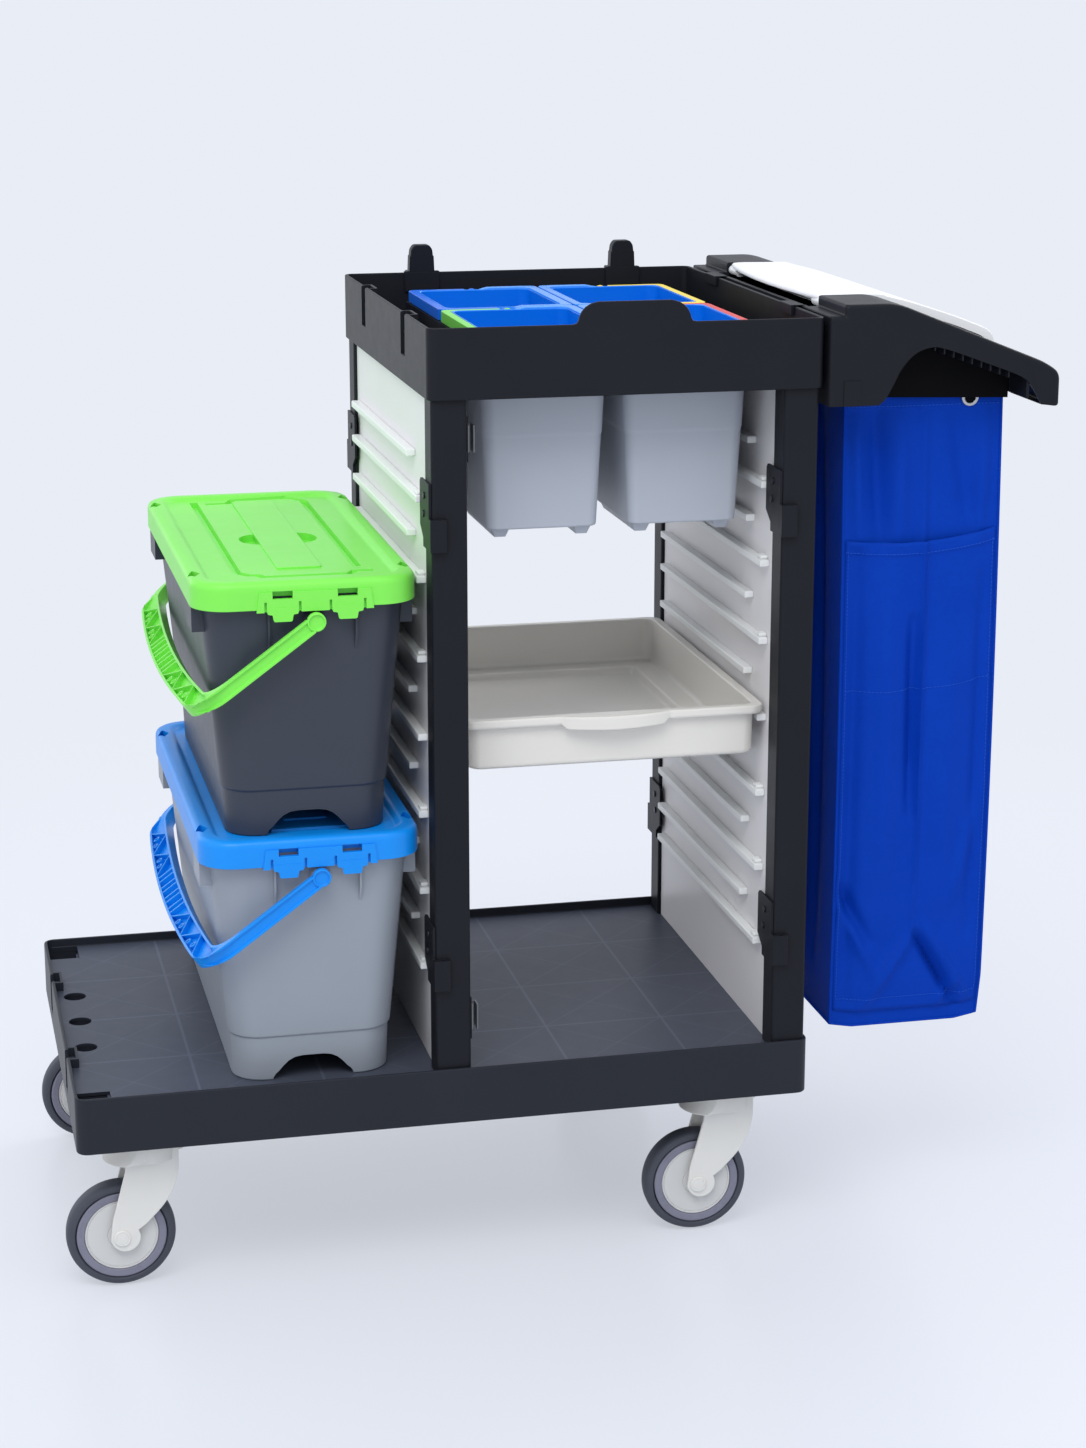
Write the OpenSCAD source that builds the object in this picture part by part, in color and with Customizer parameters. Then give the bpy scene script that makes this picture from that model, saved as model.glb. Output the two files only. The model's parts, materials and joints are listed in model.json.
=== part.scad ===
// Janitor cart: a wheeled base that carries a runner tower with a top tray, two stacked mop
// buckets at the left end and a lidded bag holder at the right end.
// X runs from the bucket end to the bag end, Y from front to back and Z up from the floor.

/* [Base] */
// Length of the base, from the bucket end to the bag end
base_l = 850; // [820:1:900]
// Depth of the base, front to back
base_d = 560; // [545:1:600]
// Height of the base's outer wall
base_h = 66; // [60:1:80]
// Height of the rim above the deck
rim_h = 11; // [8:1:15]
// Thickness of the base's outer wall
base_wall = 4; // [3:0.5:5]
// Thickness of the deck
deck_t = 5; // [4:0.5:7]
// Radius of the base's corners
base_r = 14; // [8:1:20]
// Diameter of the handle holes in the deck
handle_hole_d = 26; // [20:1:30]
// Spacing of the handle holes
handle_hole_pitch = 88; // [70:1:100]
// Distance of the handle holes from the left end
handle_hole_x = 26; // [24:1:40]

/* [Casters] */
// Wheel diameter
wheel_d = 125; // [115:1:130]
// Tyre width
wheel_w = 30; // [26:1:34]
// Diameter of the hub, where the tyre sits
hub_d = 84; // [76:1:90]
// Height from the floor to the top of the caster plate
caster_h = 197; // [192:1:206]
// Depth that the caster plate sits inside the base's wall
caster_recess = 14; // [10:1:18]
// Distance of the swivel axis from the base's ends
caster_x = 85; // [75:1:95]
// Distance of the swivel axis from the base's front and back
caster_y = 60; // [55:1:75]
// Horizontal distance from the swivel axis to the wheel axle
caster_trail = 36; // [30:1:42]
// Diameter of the fork's crown at its kingpin
crown_d = 64; // [60:1:70]
// Height of the fork's crown
crown_h = 42; // [36:1:46]
// Thickness of the fork's legs
leg_t = 4; // [3:0.5:5]
// Axle diameter
axle_d = 10; // [8:1:12]
// Kingpin diameter
kingpin_d = 14; // [12:1:16]
// Thickness of the caster plate
plate_t = 4; // [3:0.5:6]
// Diameter of the bolts that hold the caster plates
bolt_d = 8; // [6:1:8]

/* [Tower] */
// Height of the tray's rim above the floor
cart_h = 1091; // [1060:1:1120]
// Length of the tower and its top tray
tower_l = 445; // [435:1:460]
// Height of the tray's wall
tray_h = 78; // [70:1:90]
// Thickness of the tray's walls and floor
tray_wall = 4; // [3:0.5:5]
// Radius of the tray's corners
tray_r = 12; // [8:1:18]
// Height of the tray's floor above the bottom of its wall
tray_floor_up = 10; // [6:1:14]
// Length of the raised grip on the tray's front wall
hump_l = 126; // [110:1:160]
// Height of the raised grip
hump_h = 24; // [18:1:30]
// Width of the posts
post_w = 40; // [34:1:44]
// Depth of the posts
post_d = 40; // [34:1:46]
// Radius of the posts' corners
post_r = 5; // [4:0.5:6]
// Wall of the posts
post_wall = 3; // [2:0.5:4]
// Distance of the posts from the front and back of the base
post_inset = 6; // [5:0.5:10]
// Distance that the side panels sit back from the posts' faces
panel_inset = 4; // [3:0.5:6]
// Skin thickness of the side panels
panel_skin = 2.5; // [2:0.5:4]

/* [Runners] */
// Height of the lowest runner above the deck
runner_z0 = 119; // [100:1:130]
// Height between neighbouring runners
runner_pitch = 45.25; // [42:0.25:46.5]
// Number of runners on each face of a panel
runner_n = 14; // [10:1:15]
// Height of a runner
runner_h = 8; // [7:1:12]
// Distance that a runner stands out from the panel
runner_out = 11; // [9:1:12]
// Distance of a long runner from the panel's front edge
runner_long_gap = 18; // [16:1:40]
// Distance of a short runner from the panel's front edge
runner_short_gap = 76; // [60:1:100]

/* [Drawer] */
// Number of the runner, counted from the bottom, that carries the drawer
drawer_runner = 6; // [4:2:8]
// Height of the drawer
drawer_h = 60; // [45:1:70]
// Wall of the drawer
drawer_wall = 3; // [2.5:0.5:4]
// Clearance between the drawer's rim and the posts
drawer_clear = 1; // [0.5:0.5:2]
// Height of the drawer's rim
drawer_rim_h = 10; // [8:1:14]
// Distance that the drawer's rim stands out from its walls
drawer_rim_out = 9; // [9:0.5:12]

/* [Buckets] */
// Width of a mop bucket's lid
lid_w = 248; // [240:1:249]
// Length of a mop bucket's lid
lid_l = 545; // [520:1:550]
// Height from a bucket's foot to the plane on its lid where the next bucket stands
bucket_h = 290; // [286:1:300]
// Height of the lid's border above that plane
lid_up = 5; // [3:0.5:7]
// Height of the lid, from its skirt to its border
lid_h = 31; // [28:1:34]
// Thickness of the lid
lid_t = 4; // [3:0.5:5]
// Distance that a bucket's foot is narrower than its lid on each side
foot_in = 32; // [31:1:36]
// Height of a bucket's foot ring
foot_h = 53; // [45:1:60]
// Wall of a bucket
bucket_wall = 3; // [2.5:0.5:4]
// Distance from the base's left end to the middle of the buckets
bucket_x = 272.5; // [268:0.5:273]
// Distance of the bail's pivot from the middle of the bucket
pivot_x = 8; // [0:0.5:8]
// Distance of the bail's pivot below the plane on the lid
pivot_drop = 40; // [38:1:44]
// Diameter of the bail's pivot stubs
pivot_d = 10; // [8:1:12]
// Distance from the bail's pivot to the inner edge of its grip
bail_reach = 144.5; // [144:0.5:150]
// Width of the bail's grip
bail_band = 23; // [20:1:30]
// Thickness of the bail's arms
bail_t = 8; // [6:1:10]
// Depth of the bail's beam
bail_depth = 17; // [14:1:19]
// Angle that a hanging bail makes below the level
bail_rest = 36; // [30:1:36]

/* [Bins] */
// Width of a small bin's rim
bin_w = 160; // [150:1:162]
// Length of a small bin's rim, front to back
bin_l = 205; // [190:1:215]
// Height of a small bin
bin_h = 225; // [200:1:240]
// Gap between neighbouring bins
bin_gap = 3; // [2:0.5:6]
// Height of a bin's rim
bin_rim_h = 14; // [14:1:18]
// Distance from the tray's rim down to the bins' rims
bin_drop = 14; // [8:1:18]
// Distance that a bin narrows on each side from its rim to its floor
bin_taper = 10; // [6:1:12]
// Wall of a bin
bin_wall = 2.5; // [2:0.5:3]
// Thickness of a bin's liner
liner_t = 1.5; // [1:0.5:2]
// Width of a bin's bail
bin_bail_w = 5.5; // [4.5:0.5:6.5]
// Diameter of a bin bail's pivots
bin_pivot_d = 5; // [4:0.5:6]
// Distance of the bins and the tray's grip from the middle of the tower
bin_shift = 6; // [0:1:8]

/* [Bag holder] */
// Gap between the tray and the bag holder
holder_gap = 5; // [3:1:7]
// Length of the bag holder
holder_l = 272; // [262:1:290]
// Height of the holder's top above the tray's rim
holder_up = 13; // [10:1:18]
// Height of the holder's arms at the tray
holder_h = 112; // [100:1:125]
// Width of an arm
arm_w = 98; // [85:1:110]
// Thickness of the holder's walls
arm_t = 3.5; // [3:0.5:5]
// Height that an arm drops from its top to its tip
arm_fall = 70; // [60:1:80]
// Width of the bag
bag_w = 192; // [180:1:200]
// Length of the bag, front to back
bag_l = 437; // [420:1:460]
// Height of the bag
bag_h = 770; // [700:1:800]
// Thickness of the bag's cloth
bag_t = 2; // [1.5:0.5:3]
// Height that the bag's hem reaches up behind its hanger
bag_hem = 18; // [12:1:26]
// Thickness of the bag lid
cover_t = 3; // [2.5:0.5:4]
// Diameter of the lid's hinge rod
rod_d = 6; // [5:0.5:8]

/* [Fittings] */
// Height of a door bracket
bracket_h = 74; // [65:1:85]
// Thickness of a door bracket
bracket_t = 3; // [2.5:0.5:3.5]
// Bore of a door bracket's socket
socket_d = 5; // [4:0.5:6]
// Height of the lower brackets above the deck
bracket_low = 106; // [80:1:120]
// Distance of the upper brackets' feet below the tray
bracket_high = 165; // [130:1:190]
// Height of the lower door catches above the deck
catch_low = 42; // [30:1:60]
// Distance of the upper door catches below the tray
catch_high = 19; // [10:1:40]
// Width of a tool clip
clip_w = 32; // [28:1:40]
// Height of a tool clip above the tray's rim
clip_up = 34; // [28:1:40]

/* [Hidden] */
$fn = 64;
eps = 0.01;
run = 0.05;
gap = 0.3;

base_z0 = caster_h - caster_recess;
deck_z = base_z0 + base_h - rim_h;
tray_z0 = cart_h - tray_h;
tray_floor = tray_z0 + tray_floor_up;
tower_x0 = base_l - tower_l;
tower_mid = tower_x0 + tower_l / 2;
mid_y = base_d / 2;

bearing_h = 6;
crown_top = caster_h - plate_t - bearing_h - gap;
crown_z0 = crown_top - crown_h;
fork_gap = wheel_w + 6;
crown_roof = 6;
hub_bore = axle_d + 2 * run;

post_h = tray_floor - deck_z;
bracket_z = [bracket_low, tray_z0 - deck_z - bracket_high];
post_x = [tower_x0 + base_wall, base_l - base_wall - post_w];
post_y = [post_inset, base_d - post_inset - post_d];
panel_t = post_w - 2 * panel_inset;
panel_y0 = post_inset + post_d;
panel_l = base_d - 2 * panel_y0;
bay_x0 = post_x[0] + post_w - panel_inset;
bay_x1 = post_x[1] + panel_inset;

slide_h = 4;
drawer_top = deck_z + runner_z0 + drawer_runner * runner_pitch + slide_h + drawer_rim_h;
drawer_w = post_x[1] - post_x[0] - post_w - 2 * drawer_clear;
drawer_y0 = panel_y0 + 6;
drawer_l = panel_l + 6;

bucket_y = mid_y;
lid_z = bucket_h + lid_up - lid_h;
pivot_z = bucket_h - pivot_drop;
foot_w = lid_w - 2 * foot_in;
foot_l = lid_l - 2 * foot_in;
rim_in = 12;
rim_w = lid_w - 2 * rim_in;
rim_l = lid_l - 2 * rim_in;
bail_half = lid_l / 2 + 1.5 + bail_t;

holder_x0 = base_l + holder_gap;
holder_x1 = holder_x0 + holder_l;
holder_z1 = cart_h + holder_up;
holder_z0 = holder_z1 - holder_h;
bag_mid = holder_x0 + holder_l / 2 - 3;
hanger_t = 3;
hanger_w = bag_w + 2 * (hanger_t + gap);
hanger_l = bag_l + 2 * (hanger_t + gap);
hanger_h = 43;
flat_end = holder_x0 + 78;
slope_end = holder_x1 - 18;

bin_z1 = cart_h - bin_drop;
bin_seat = bin_z1 - bin_rim_h;
bin_z0 = bin_z1 - bin_h;
bin_pitch_x = bin_w + bin_gap;
bin_pitch_y = bin_l + bin_gap;

clip_out = 26;
x_mid = (caster_x - caster_trail - wheel_d / 2 + holder_x1) / 2;
y_mid = (bucket_y - bail_half - 3 + base_d + clip_out) / 2;

CORNERS = ["front_left", "front_right", "rear_left", "rear_right"];
BIN_COLOURS = ["limegreen", "red", "royalblue", "gold"];

black = "#26282e";
pale = "#d8dad8";
fork_grey = "#d2d0ca";

// Moves the cart's own coordinates so that the origin is under the middle of its box.
module place() translate([-x_mid, -y_mid, 0]) children();

// A flat rectangle with round corners, from the origin.
module round_rect(w, l, r) {
    translate([r, 0]) square([w - 2 * r, l]);
    translate([0, r]) square([w, l - 2 * r]);
    for (x = [r, w - r]) for (y = [r, l - r]) translate([x, y]) circle(r);
}

// The same rectangle about the origin.
module round_plate(w, l, r, h) translate([-w / 2, -l / 2, 0]) linear_extrude(h) round_rect(w, l, r);

// A box with round upright edges, from the origin.
module round_box(w, l, h, r) linear_extrude(h) round_rect(w, l, r);

// A tapered tub: one round rectangle drawn up into another.
module taper(w0, l0, r0, w1, l1, r1, h) hull() {
    round_plate(w0, l0, r0, eps, $fn = 32);
    translate([0, 0, h - eps]) round_plate(w1, l1, r1, eps, $fn = 32);
}

// An upright plate that follows a profile drawn in X and Z, from y0 to y0 + t.
module side_plate(y0, t) translate([0, y0 + t, 0]) rotate([90, 0, 0]) linear_extrude(t) children();

// A cylinder along Y, from y0 to y0 + l.
module y_rod(d, y0, l) translate([0, y0, 0]) rotate([-90, 0, 0]) cylinder(d = d, h = l);

// Left or right and front or back of corner i.
function right(i) = i % 2;
function back(i) = floor(i / 2);
function caster_at(i) = [right(i) ? base_l - caster_x : caster_x, back(i) ? base_d - caster_y : caster_y];
function bin_at(i) = [tower_mid + bin_shift + (right(i) - 0.5) * bin_pitch_x, mid_y + (back(i) - 0.5) * bin_pitch_y];

// Base

slot_w = 26;
slot_h = 47;
pocket_w = 7;
pocket_l = 34;
hook_y = [0.265, 0.735];

// A narrow hanging slot in a left end wall and the square pocket behind it.
module hook_cut(wall, z1, floor_z) {
    translate([-1, -slot_w / 2, z1 - slot_h]) cube([wall + 1 + eps, slot_w, slot_h + 1]);
    translate([wall - eps, -pocket_l / 2, floor_z]) cube([pocket_w + eps, pocket_l, z1 - floor_z + 1]);
}

module hook_block(wall, z1, floor_z)
    translate([wall - eps, -pocket_l / 2 - 3, floor_z]) cube([pocket_w + 3, pocket_l + 6, z1 - floor_z]);

corner_hole = [38, 44];
deck_rib_t = 4;
deck_rib_h = 22;
pad_l = 92;
pad_w = 80;
bolt_grip = 16;
bolt_x = pad_l / 2 - 14;
bolt_y = pad_w / 2 - 13;

module base_tray() color(black) place() difference() {
    union() {
        difference() {
            translate([0, 0, base_z0]) round_box(base_l, base_d, base_h, base_r);
            translate([base_wall, base_wall, deck_z])
                round_box(base_l - 2 * base_wall, base_d - 2 * base_wall, base_h, post_r + 1);
            translate([base_wall, base_wall, base_z0 - 1])
                round_box(base_l - 2 * base_wall, base_d - 2 * base_wall, deck_z - deck_t - base_z0 + 1,
                    base_r - base_wall);
        }
        for (i = [0:3]) translate(concat(caster_at(i), caster_h)) translate([-pad_l / 2, -pad_w / 2, 0])
            cube([pad_l, pad_w, deck_z - deck_t - caster_h + eps]);
        for (k = [1:3]) let (x = k == 2 ? base_l / 6 : base_wall - eps)
            translate([x, k * base_d / 4 - deck_rib_t / 2, deck_z - deck_t - deck_rib_h])
                cube([base_l - base_wall + eps - x, deck_rib_t, deck_rib_h + eps]);
        for (k = [1:5]) translate([k * base_l / 6 - deck_rib_t / 2, base_wall - eps, deck_z - deck_t - deck_rib_h])
            cube([deck_rib_t, base_d - 2 * base_wall + 2 * eps, deck_rib_h + eps]);
        for (k = hook_y) translate([0, k * base_d, 0]) hook_block(base_wall, deck_z + rim_h, deck_z - deck_t);
    }
    for (k = hook_y) translate([0, k * base_d, 0]) hook_cut(base_wall, deck_z + rim_h, deck_z);
    for (k = [-1:1]) translate([handle_hole_x, mid_y + k * handle_hole_pitch, deck_z - 60])
        cylinder(d = handle_hole_d, h = 60 + rim_h);
    for (y = [base_wall, base_d - base_wall - corner_hole[1]])
        translate([base_wall, y, deck_z - deck_t - 1]) cube(concat(corner_hole, deck_t + 1 + eps));
    for (i = [0:3]) for (x = [-1, 1]) for (y = [-1, 1])
        translate(concat(caster_at(i) + [x * bolt_x, y * bolt_y], caster_h - 1)) cylinder(d = bolt_d, h = bolt_grip + 1);
}

// Casters

bearing_out = 13;
retainer_t = 5;
retainer_out = 5;
bolt_head_t = 5;

module caster_plates() color(fork_grey) place() for (i = [0:3]) translate(concat(caster_at(i), 0)) {
    difference() {
        translate([0, 0, caster_h - plate_t]) round_plate(pad_l - 4, pad_w - 4, 8, plate_t);
        for (x = [-1, 1]) for (y = [-1, 1]) translate([x * bolt_x, y * bolt_y, caster_h - plate_t - 1])
            cylinder(d = bolt_d, h = plate_t + 2);
    }
    translate([0, 0, crown_top + gap]) cylinder(d = kingpin_d + 2 * bearing_out, h = bearing_h + eps);
    translate([0, 0, crown_top - crown_roof - retainer_t - gap])
        cylinder(d = kingpin_d, h = crown_roof + retainer_t + 2 * gap + eps);
    translate([0, 0, crown_top - crown_roof - retainer_t - gap]) cylinder(d = kingpin_d + 2 * retainer_out, h = retainer_t);
}

module caster_bolts() color("silver") place() for (i = [0:3]) for (x = [-1, 1]) for (y = [-1, 1])
    translate(concat(caster_at(i) + [x * bolt_x, y * bolt_y], caster_h - plate_t)) {
        cylinder(d = bolt_d, h = plate_t + bolt_grip);
        translate([0, 0, -bolt_head_t]) cylinder(d = bolt_d * 1.8, h = bolt_head_t, $fn = 6);
    }

// The side view of a fork's leg, about the swivel axis on the floor.
module leg_profile() {
    boss = axle_d / 2 + 12;
    end = [4 - caster_trail, wheel_d / 2];
    top = crown_z0 + crown_h / 2;
    translate(end) circle(boss);
    polygon([
        end + boss * [cos(176), sin(176)], [-crown_d / 2 - 1, crown_z0 + 3], [-crown_d / 2 - 1, top],
        [crown_d / 2 - 10, top], [crown_d / 2 - 10, crown_z0 - 22], [crown_d / 2 - 21, crown_z0 - 44],
        end + boss * [cos(15), sin(15)], end]);
}

crown_tail = 14;

// The outline of a fork's crown, longer on the side of the wheel.
module crown_flat(inset) {
    circle(crown_d / 2 - inset);
    translate([-crown_tail, 0]) circle(crown_d / 2 + 4 - inset);
}

module fork(i) color(fork_grey) place() translate(concat(caster_at(i), 0)) difference() {
    union() {
        difference() {
            translate([0, 0, crown_z0]) linear_extrude(crown_h) crown_flat(0);
            translate([0, 0, crown_z0 - 1]) linear_extrude(crown_h - crown_roof + 1) crown_flat(leg_t);
        }
        for (y = [-fork_gap / 2 - leg_t, fork_gap / 2]) side_plate(y, leg_t) leg_profile();
    }
    translate([0, 0, crown_z0]) cylinder(d = kingpin_d + 2 * run, h = crown_h + 1);
    translate([-caster_trail, 0, wheel_d / 2]) y_rod(hub_bore, -crown_d, 2 * crown_d);
}

module axle(i) color("silver") place() translate(concat(caster_at(i), 0))
    translate([-caster_trail, 0, wheel_d / 2]) {
        y_rod(axle_d, -fork_gap / 2 - leg_t - 2, fork_gap + 2 * leg_t + 4);
        y_rod(axle_d + 8, -fork_gap / 2 - leg_t - 2.5, 2.5);
        y_rod(axle_d + 8, fork_gap / 2 + leg_t, 2.5);
    }

// Turns a profile drawn in radius and width about the axle of wheel i.
module on_axle(i) place() translate(concat(caster_at(i), 0)) translate([-caster_trail, 0, wheel_d / 2])
    rotate([90, 0, 0]) rotate_extrude() children();

module hub(i) color("#e4e4e2") on_axle(i) {
    face = wheel_w / 2 - 2;
    boss = fork_gap / 2 - gap;
    polygon([
        [hub_bore / 2, -boss], [hub_bore / 2 + 7, -boss], [hub_bore / 2 + 9, -face], [hub_d / 2 - 5, -face + 1],
        [hub_d / 2, -face + 2], [hub_d / 2, face - 2], [hub_d / 2 - 5, face - 1], [hub_bore / 2 + 9, face],
        [hub_bore / 2 + 7, boss], [hub_bore / 2, boss]]);
}

module tyre(i) color("#4a4e5a") on_axle(i) difference() {
    half = wheel_w / 2;
    shoulder = 8;
    union() {
        translate([hub_d / 2, -half]) square([(wheel_d - hub_d) / 2 - shoulder, wheel_w]);
        translate([hub_d / 2, -half + shoulder]) square([(wheel_d - hub_d) / 2, wheel_w - 2 * shoulder]);
        for (y = [-1, 1]) translate([wheel_d / 2 - shoulder, y * (half - shoulder)]) circle(shoulder);
    }
    for (y = [-1, 1]) translate([hub_d / 2 + 9, y * half]) rotate(45) square(2, center = true);
}

// Tower

module post(i) color(black) place() translate([post_x[right(i)], post_y[back(i)], deck_z]) difference() {
    round_box(post_w, post_d, post_h, post_r);
    translate([post_wall, post_wall, -1])
        round_box(post_w - 2 * post_wall, post_d - 2 * post_wall, post_h + 2, max(post_r - post_wall, 0.5));
}

panel_webs = 5;

// A twin-skin panel, open at its top and bottom.
module panel(i) color(pale) place() translate([post_x[i] + panel_inset, panel_y0, deck_z])
    linear_extrude(post_h) difference() {
        square([panel_t, panel_l]);
        cell = (panel_l - panel_skin) / panel_webs;
        for (k = [0:panel_webs - 1]) translate([panel_skin, panel_skin + k * cell])
            square([panel_t - 2 * panel_skin, cell - panel_skin]);
    }

stop_l = 14;
stop_h = 4;

// One runner along Y with its back face at x = 0; a stop stands on the front of some of the long ones.
module runner(long, stop) {
    y0 = long ? runner_long_gap : runner_short_gap;
    translate([0, y0, -runner_h]) cube([runner_out, panel_l - y0 - runner_long_gap, runner_h]);
    if (stop) translate([0, y0 + 5, 2 * eps]) cube([runner_out - 2, stop_l, stop_h]);
}

// As many runners as fit under the tray.
runner_fit = min(runner_n, floor((tray_z0 - 2 * runner_h - deck_z - runner_z0) / runner_pitch) + 1);

// The runners on both faces of a panel: every other one is long and has a stop, unless it carries the drawer.
module runners(i) color("#e2e4e2") place() for (k = [0:runner_fit - 1]) {
    long = k % 2 == 0;
    stop = long && k != drawer_runner;
    translate([0, panel_y0, deck_z + runner_z0 + k * runner_pitch - (long ? 0 : 3)]) {
        translate([post_x[i] + panel_inset + panel_t, 0, 0]) runner(long, stop);
        translate([post_x[i] + panel_inset, 0, 0]) mirror([1, 0, 0]) runner(long, stop);
    }
}

collar_t = 4;

// The left end of the tray's raised grip: steps along and up its S-shaped edge, for a grip of 24 mm.
hump_end = [[-6, 0], [-2, 1], [0, 4], [1, 8], [3.5, 13.5], [8, 18.5], [14, 22], [22, 24]];

module hump_profile() translate([tower_mid + bin_shift, cart_h]) polygon(concat(
    [[-hump_l / 2 - 6, -10]],
    [for (p = hump_end) [p[0] - hump_l / 2, p[1] * hump_h / 24]],
    [for (k = [len(hump_end) - 1:-1:0]) [hump_l / 2 - hump_end[k][0], hump_end[k][1] * hump_h / 24]],
    [[hump_l / 2 + 6, -10]]));

// The tray has a collar round each bin's opening, and the bins' rims rest on the collars.
module top_tray() color(black) place() difference() {
    union() {
        difference() {
            translate([tower_x0, 0, tray_z0]) round_box(tower_l, base_d, tray_h, tray_r);
            translate([tower_x0 + tray_wall, tray_wall, tray_floor + tray_wall])
                round_box(tower_l - 2 * tray_wall, base_d - 2 * tray_wall, tray_h, tray_r - tray_wall);
            translate([tower_x0 + tray_wall, tray_wall, tray_z0 - 1])
                round_box(tower_l - 2 * tray_wall, base_d - 2 * tray_wall, tray_floor_up + 1, post_r + 1);
        }
        translate([tower_mid + bin_shift - bin_pitch_x, mid_y - bin_pitch_y, tray_floor])
            cube([2 * bin_pitch_x, 2 * bin_pitch_y, bin_seat - tray_floor]);
        side_plate(0, tray_wall) hump_profile();
        for (k = hook_y) translate([tower_x0, k * base_d, 0]) hook_block(tray_wall, cart_h, cart_h - 24);
    }
    for (i = [0:3]) translate(concat(bin_at(i), tray_z0 - 1)) translate([-bin_w / 2, -bin_l / 2, 0])
        translate([collar_t, collar_t, 0]) cube([bin_w - 2 * collar_t, bin_l - 2 * collar_t, tray_h]);
    for (k = hook_y) translate([tower_x0, k * base_d, 0]) hook_cut(tray_wall, cart_h, cart_h - 20);
}

// Fittings

bracket_tail = 10;
bracket_l = post_d + 14;
sleeve_w = 16;
sleeve_h = 36;
sleeve_out = 7;
screw_d = 5;

// Where the bracket on the left face of post i is, at height z above the deck.
module at_bracket(i, z) translate([post_x[right(i)], back(i) ? base_d - post_inset : post_inset, deck_z + z])
    mirror([0, back(i), 0]) children();

screw_at = [[28, bracket_h - 16], [32, bracket_h / 2]];

// A door bracket: a plate with two screw holes on the post's side and a socket for a door's pin
// on the post's outer face.
module bracket() difference() {
    union() {
        translate([-bracket_t, 0, 0]) rotate([90, 0, 90]) linear_extrude(bracket_t) polygon([
            [-sleeve_out, 0], [post_d - 4, 0], [post_d - 4, bracket_tail], [bracket_l, bracket_tail + 12],
            [bracket_l, bracket_h - 4], [bracket_l - 4, bracket_h], [2, bracket_h], [2, sleeve_h],
            [-sleeve_out, sleeve_h]]);
        translate([-bracket_t, -sleeve_out, 0]) round_box(sleeve_w + bracket_t, sleeve_out, sleeve_h, 2);
    }
    for (p = screw_at) translate([-bracket_t - 1, p[0], p[1]]) rotate([0, 90, 0])
        cylinder(d = screw_d, h = bracket_t + 2);
    translate([sleeve_w / 2, -sleeve_out / 2, -1]) cylinder(d = min(socket_d, sleeve_out - 2), h = sleeve_h + 2);
}

catch_h = 50;
catch_t = 2;

// Where the door catches sit: on the bay side of the left posts, below the tray and above the deck.
module at_catches() place() for (b = [0, 1]) for (z = [deck_z + catch_low, tray_z0 - catch_high - catch_h])
    translate([post_x[0] + post_w, b ? base_d - post_inset : post_inset, z]) mirror([0, b, 0]) children();

module door_brackets() color(black) {
    place() for (i = [0:3]) for (z = bracket_z) at_bracket(i, z) bracket();
    at_catches() translate([0, 6, 0]) cube([catch_t, 22, catch_h]);
}

// A catch is a pair of spring tongues, joined at the back, that grip a door's edge.
module door_catches() color("#c8c8c4") at_catches() translate([catch_t, 8, 10]) difference() {
    cube([8, 16, 30]);
    translate([2, -1, -1]) cube([4, 15, 32]);
}

module bracket_screws() color("dimgray") place() for (i = [0:3]) for (z = bracket_z)
    at_bracket(i, z) for (p = screw_at) translate([-bracket_t, p[0], p[1]]) rotate([0, 90, 0]) {
        cylinder(d = screw_d, h = bracket_t);
        translate([0, 0, -1.5]) cylinder(d = screw_d + 3, h = 1.5);
    }

clip_in = 4;
clip_down = 24;
clip_at = [0.22, 0.8];

// A tool clip hooks over the tray's back wall and holds a handle in the jaws behind it.
module tool_clips() color(black) place() for (k = clip_at)
    translate([tower_x0 + k * tower_l, base_d, cart_h]) {
        translate([-clip_w / 2 - 6, -tray_wall - clip_in, -clip_down]) cube([clip_w + 12, clip_in, clip_down]);
        difference() {
            side_plate(-tray_wall - clip_in, tray_wall + clip_in + 8) polygon([
                [-clip_w / 2, 0], [clip_w / 2, 0], [clip_w / 2 - 2, clip_up - 6], [clip_w / 2 - 6, clip_up],
                [-clip_w / 2 + 6, clip_up], [-clip_w / 2 + 2, clip_up - 6]]);
            translate([-clip_w / 2 + 8, -tray_wall - clip_in - 1, clip_up - 9])
                cube([clip_w - 16, tray_wall + clip_in + 10, 5]);
        }
        translate([-clip_w / 2, 0, -clip_down]) difference() {
            cube([clip_w, clip_out, clip_down]);
            translate([clip_w / 2, clip_out - 9, -1]) cylinder(d = 22, h = clip_down + 2);
            translate([clip_w / 2 - 9, clip_out - 9, -1]) cube([18, clip_out, clip_down + 2]);
        }
    }

// Drawer

drawer_grip = 120;
drawer_step = 6;
lip_drop = 8;
drawer_r = 14;
drawer_floor_in = 35;
drawer_slide_in = 30;
drawer_floor_t = 6;

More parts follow.
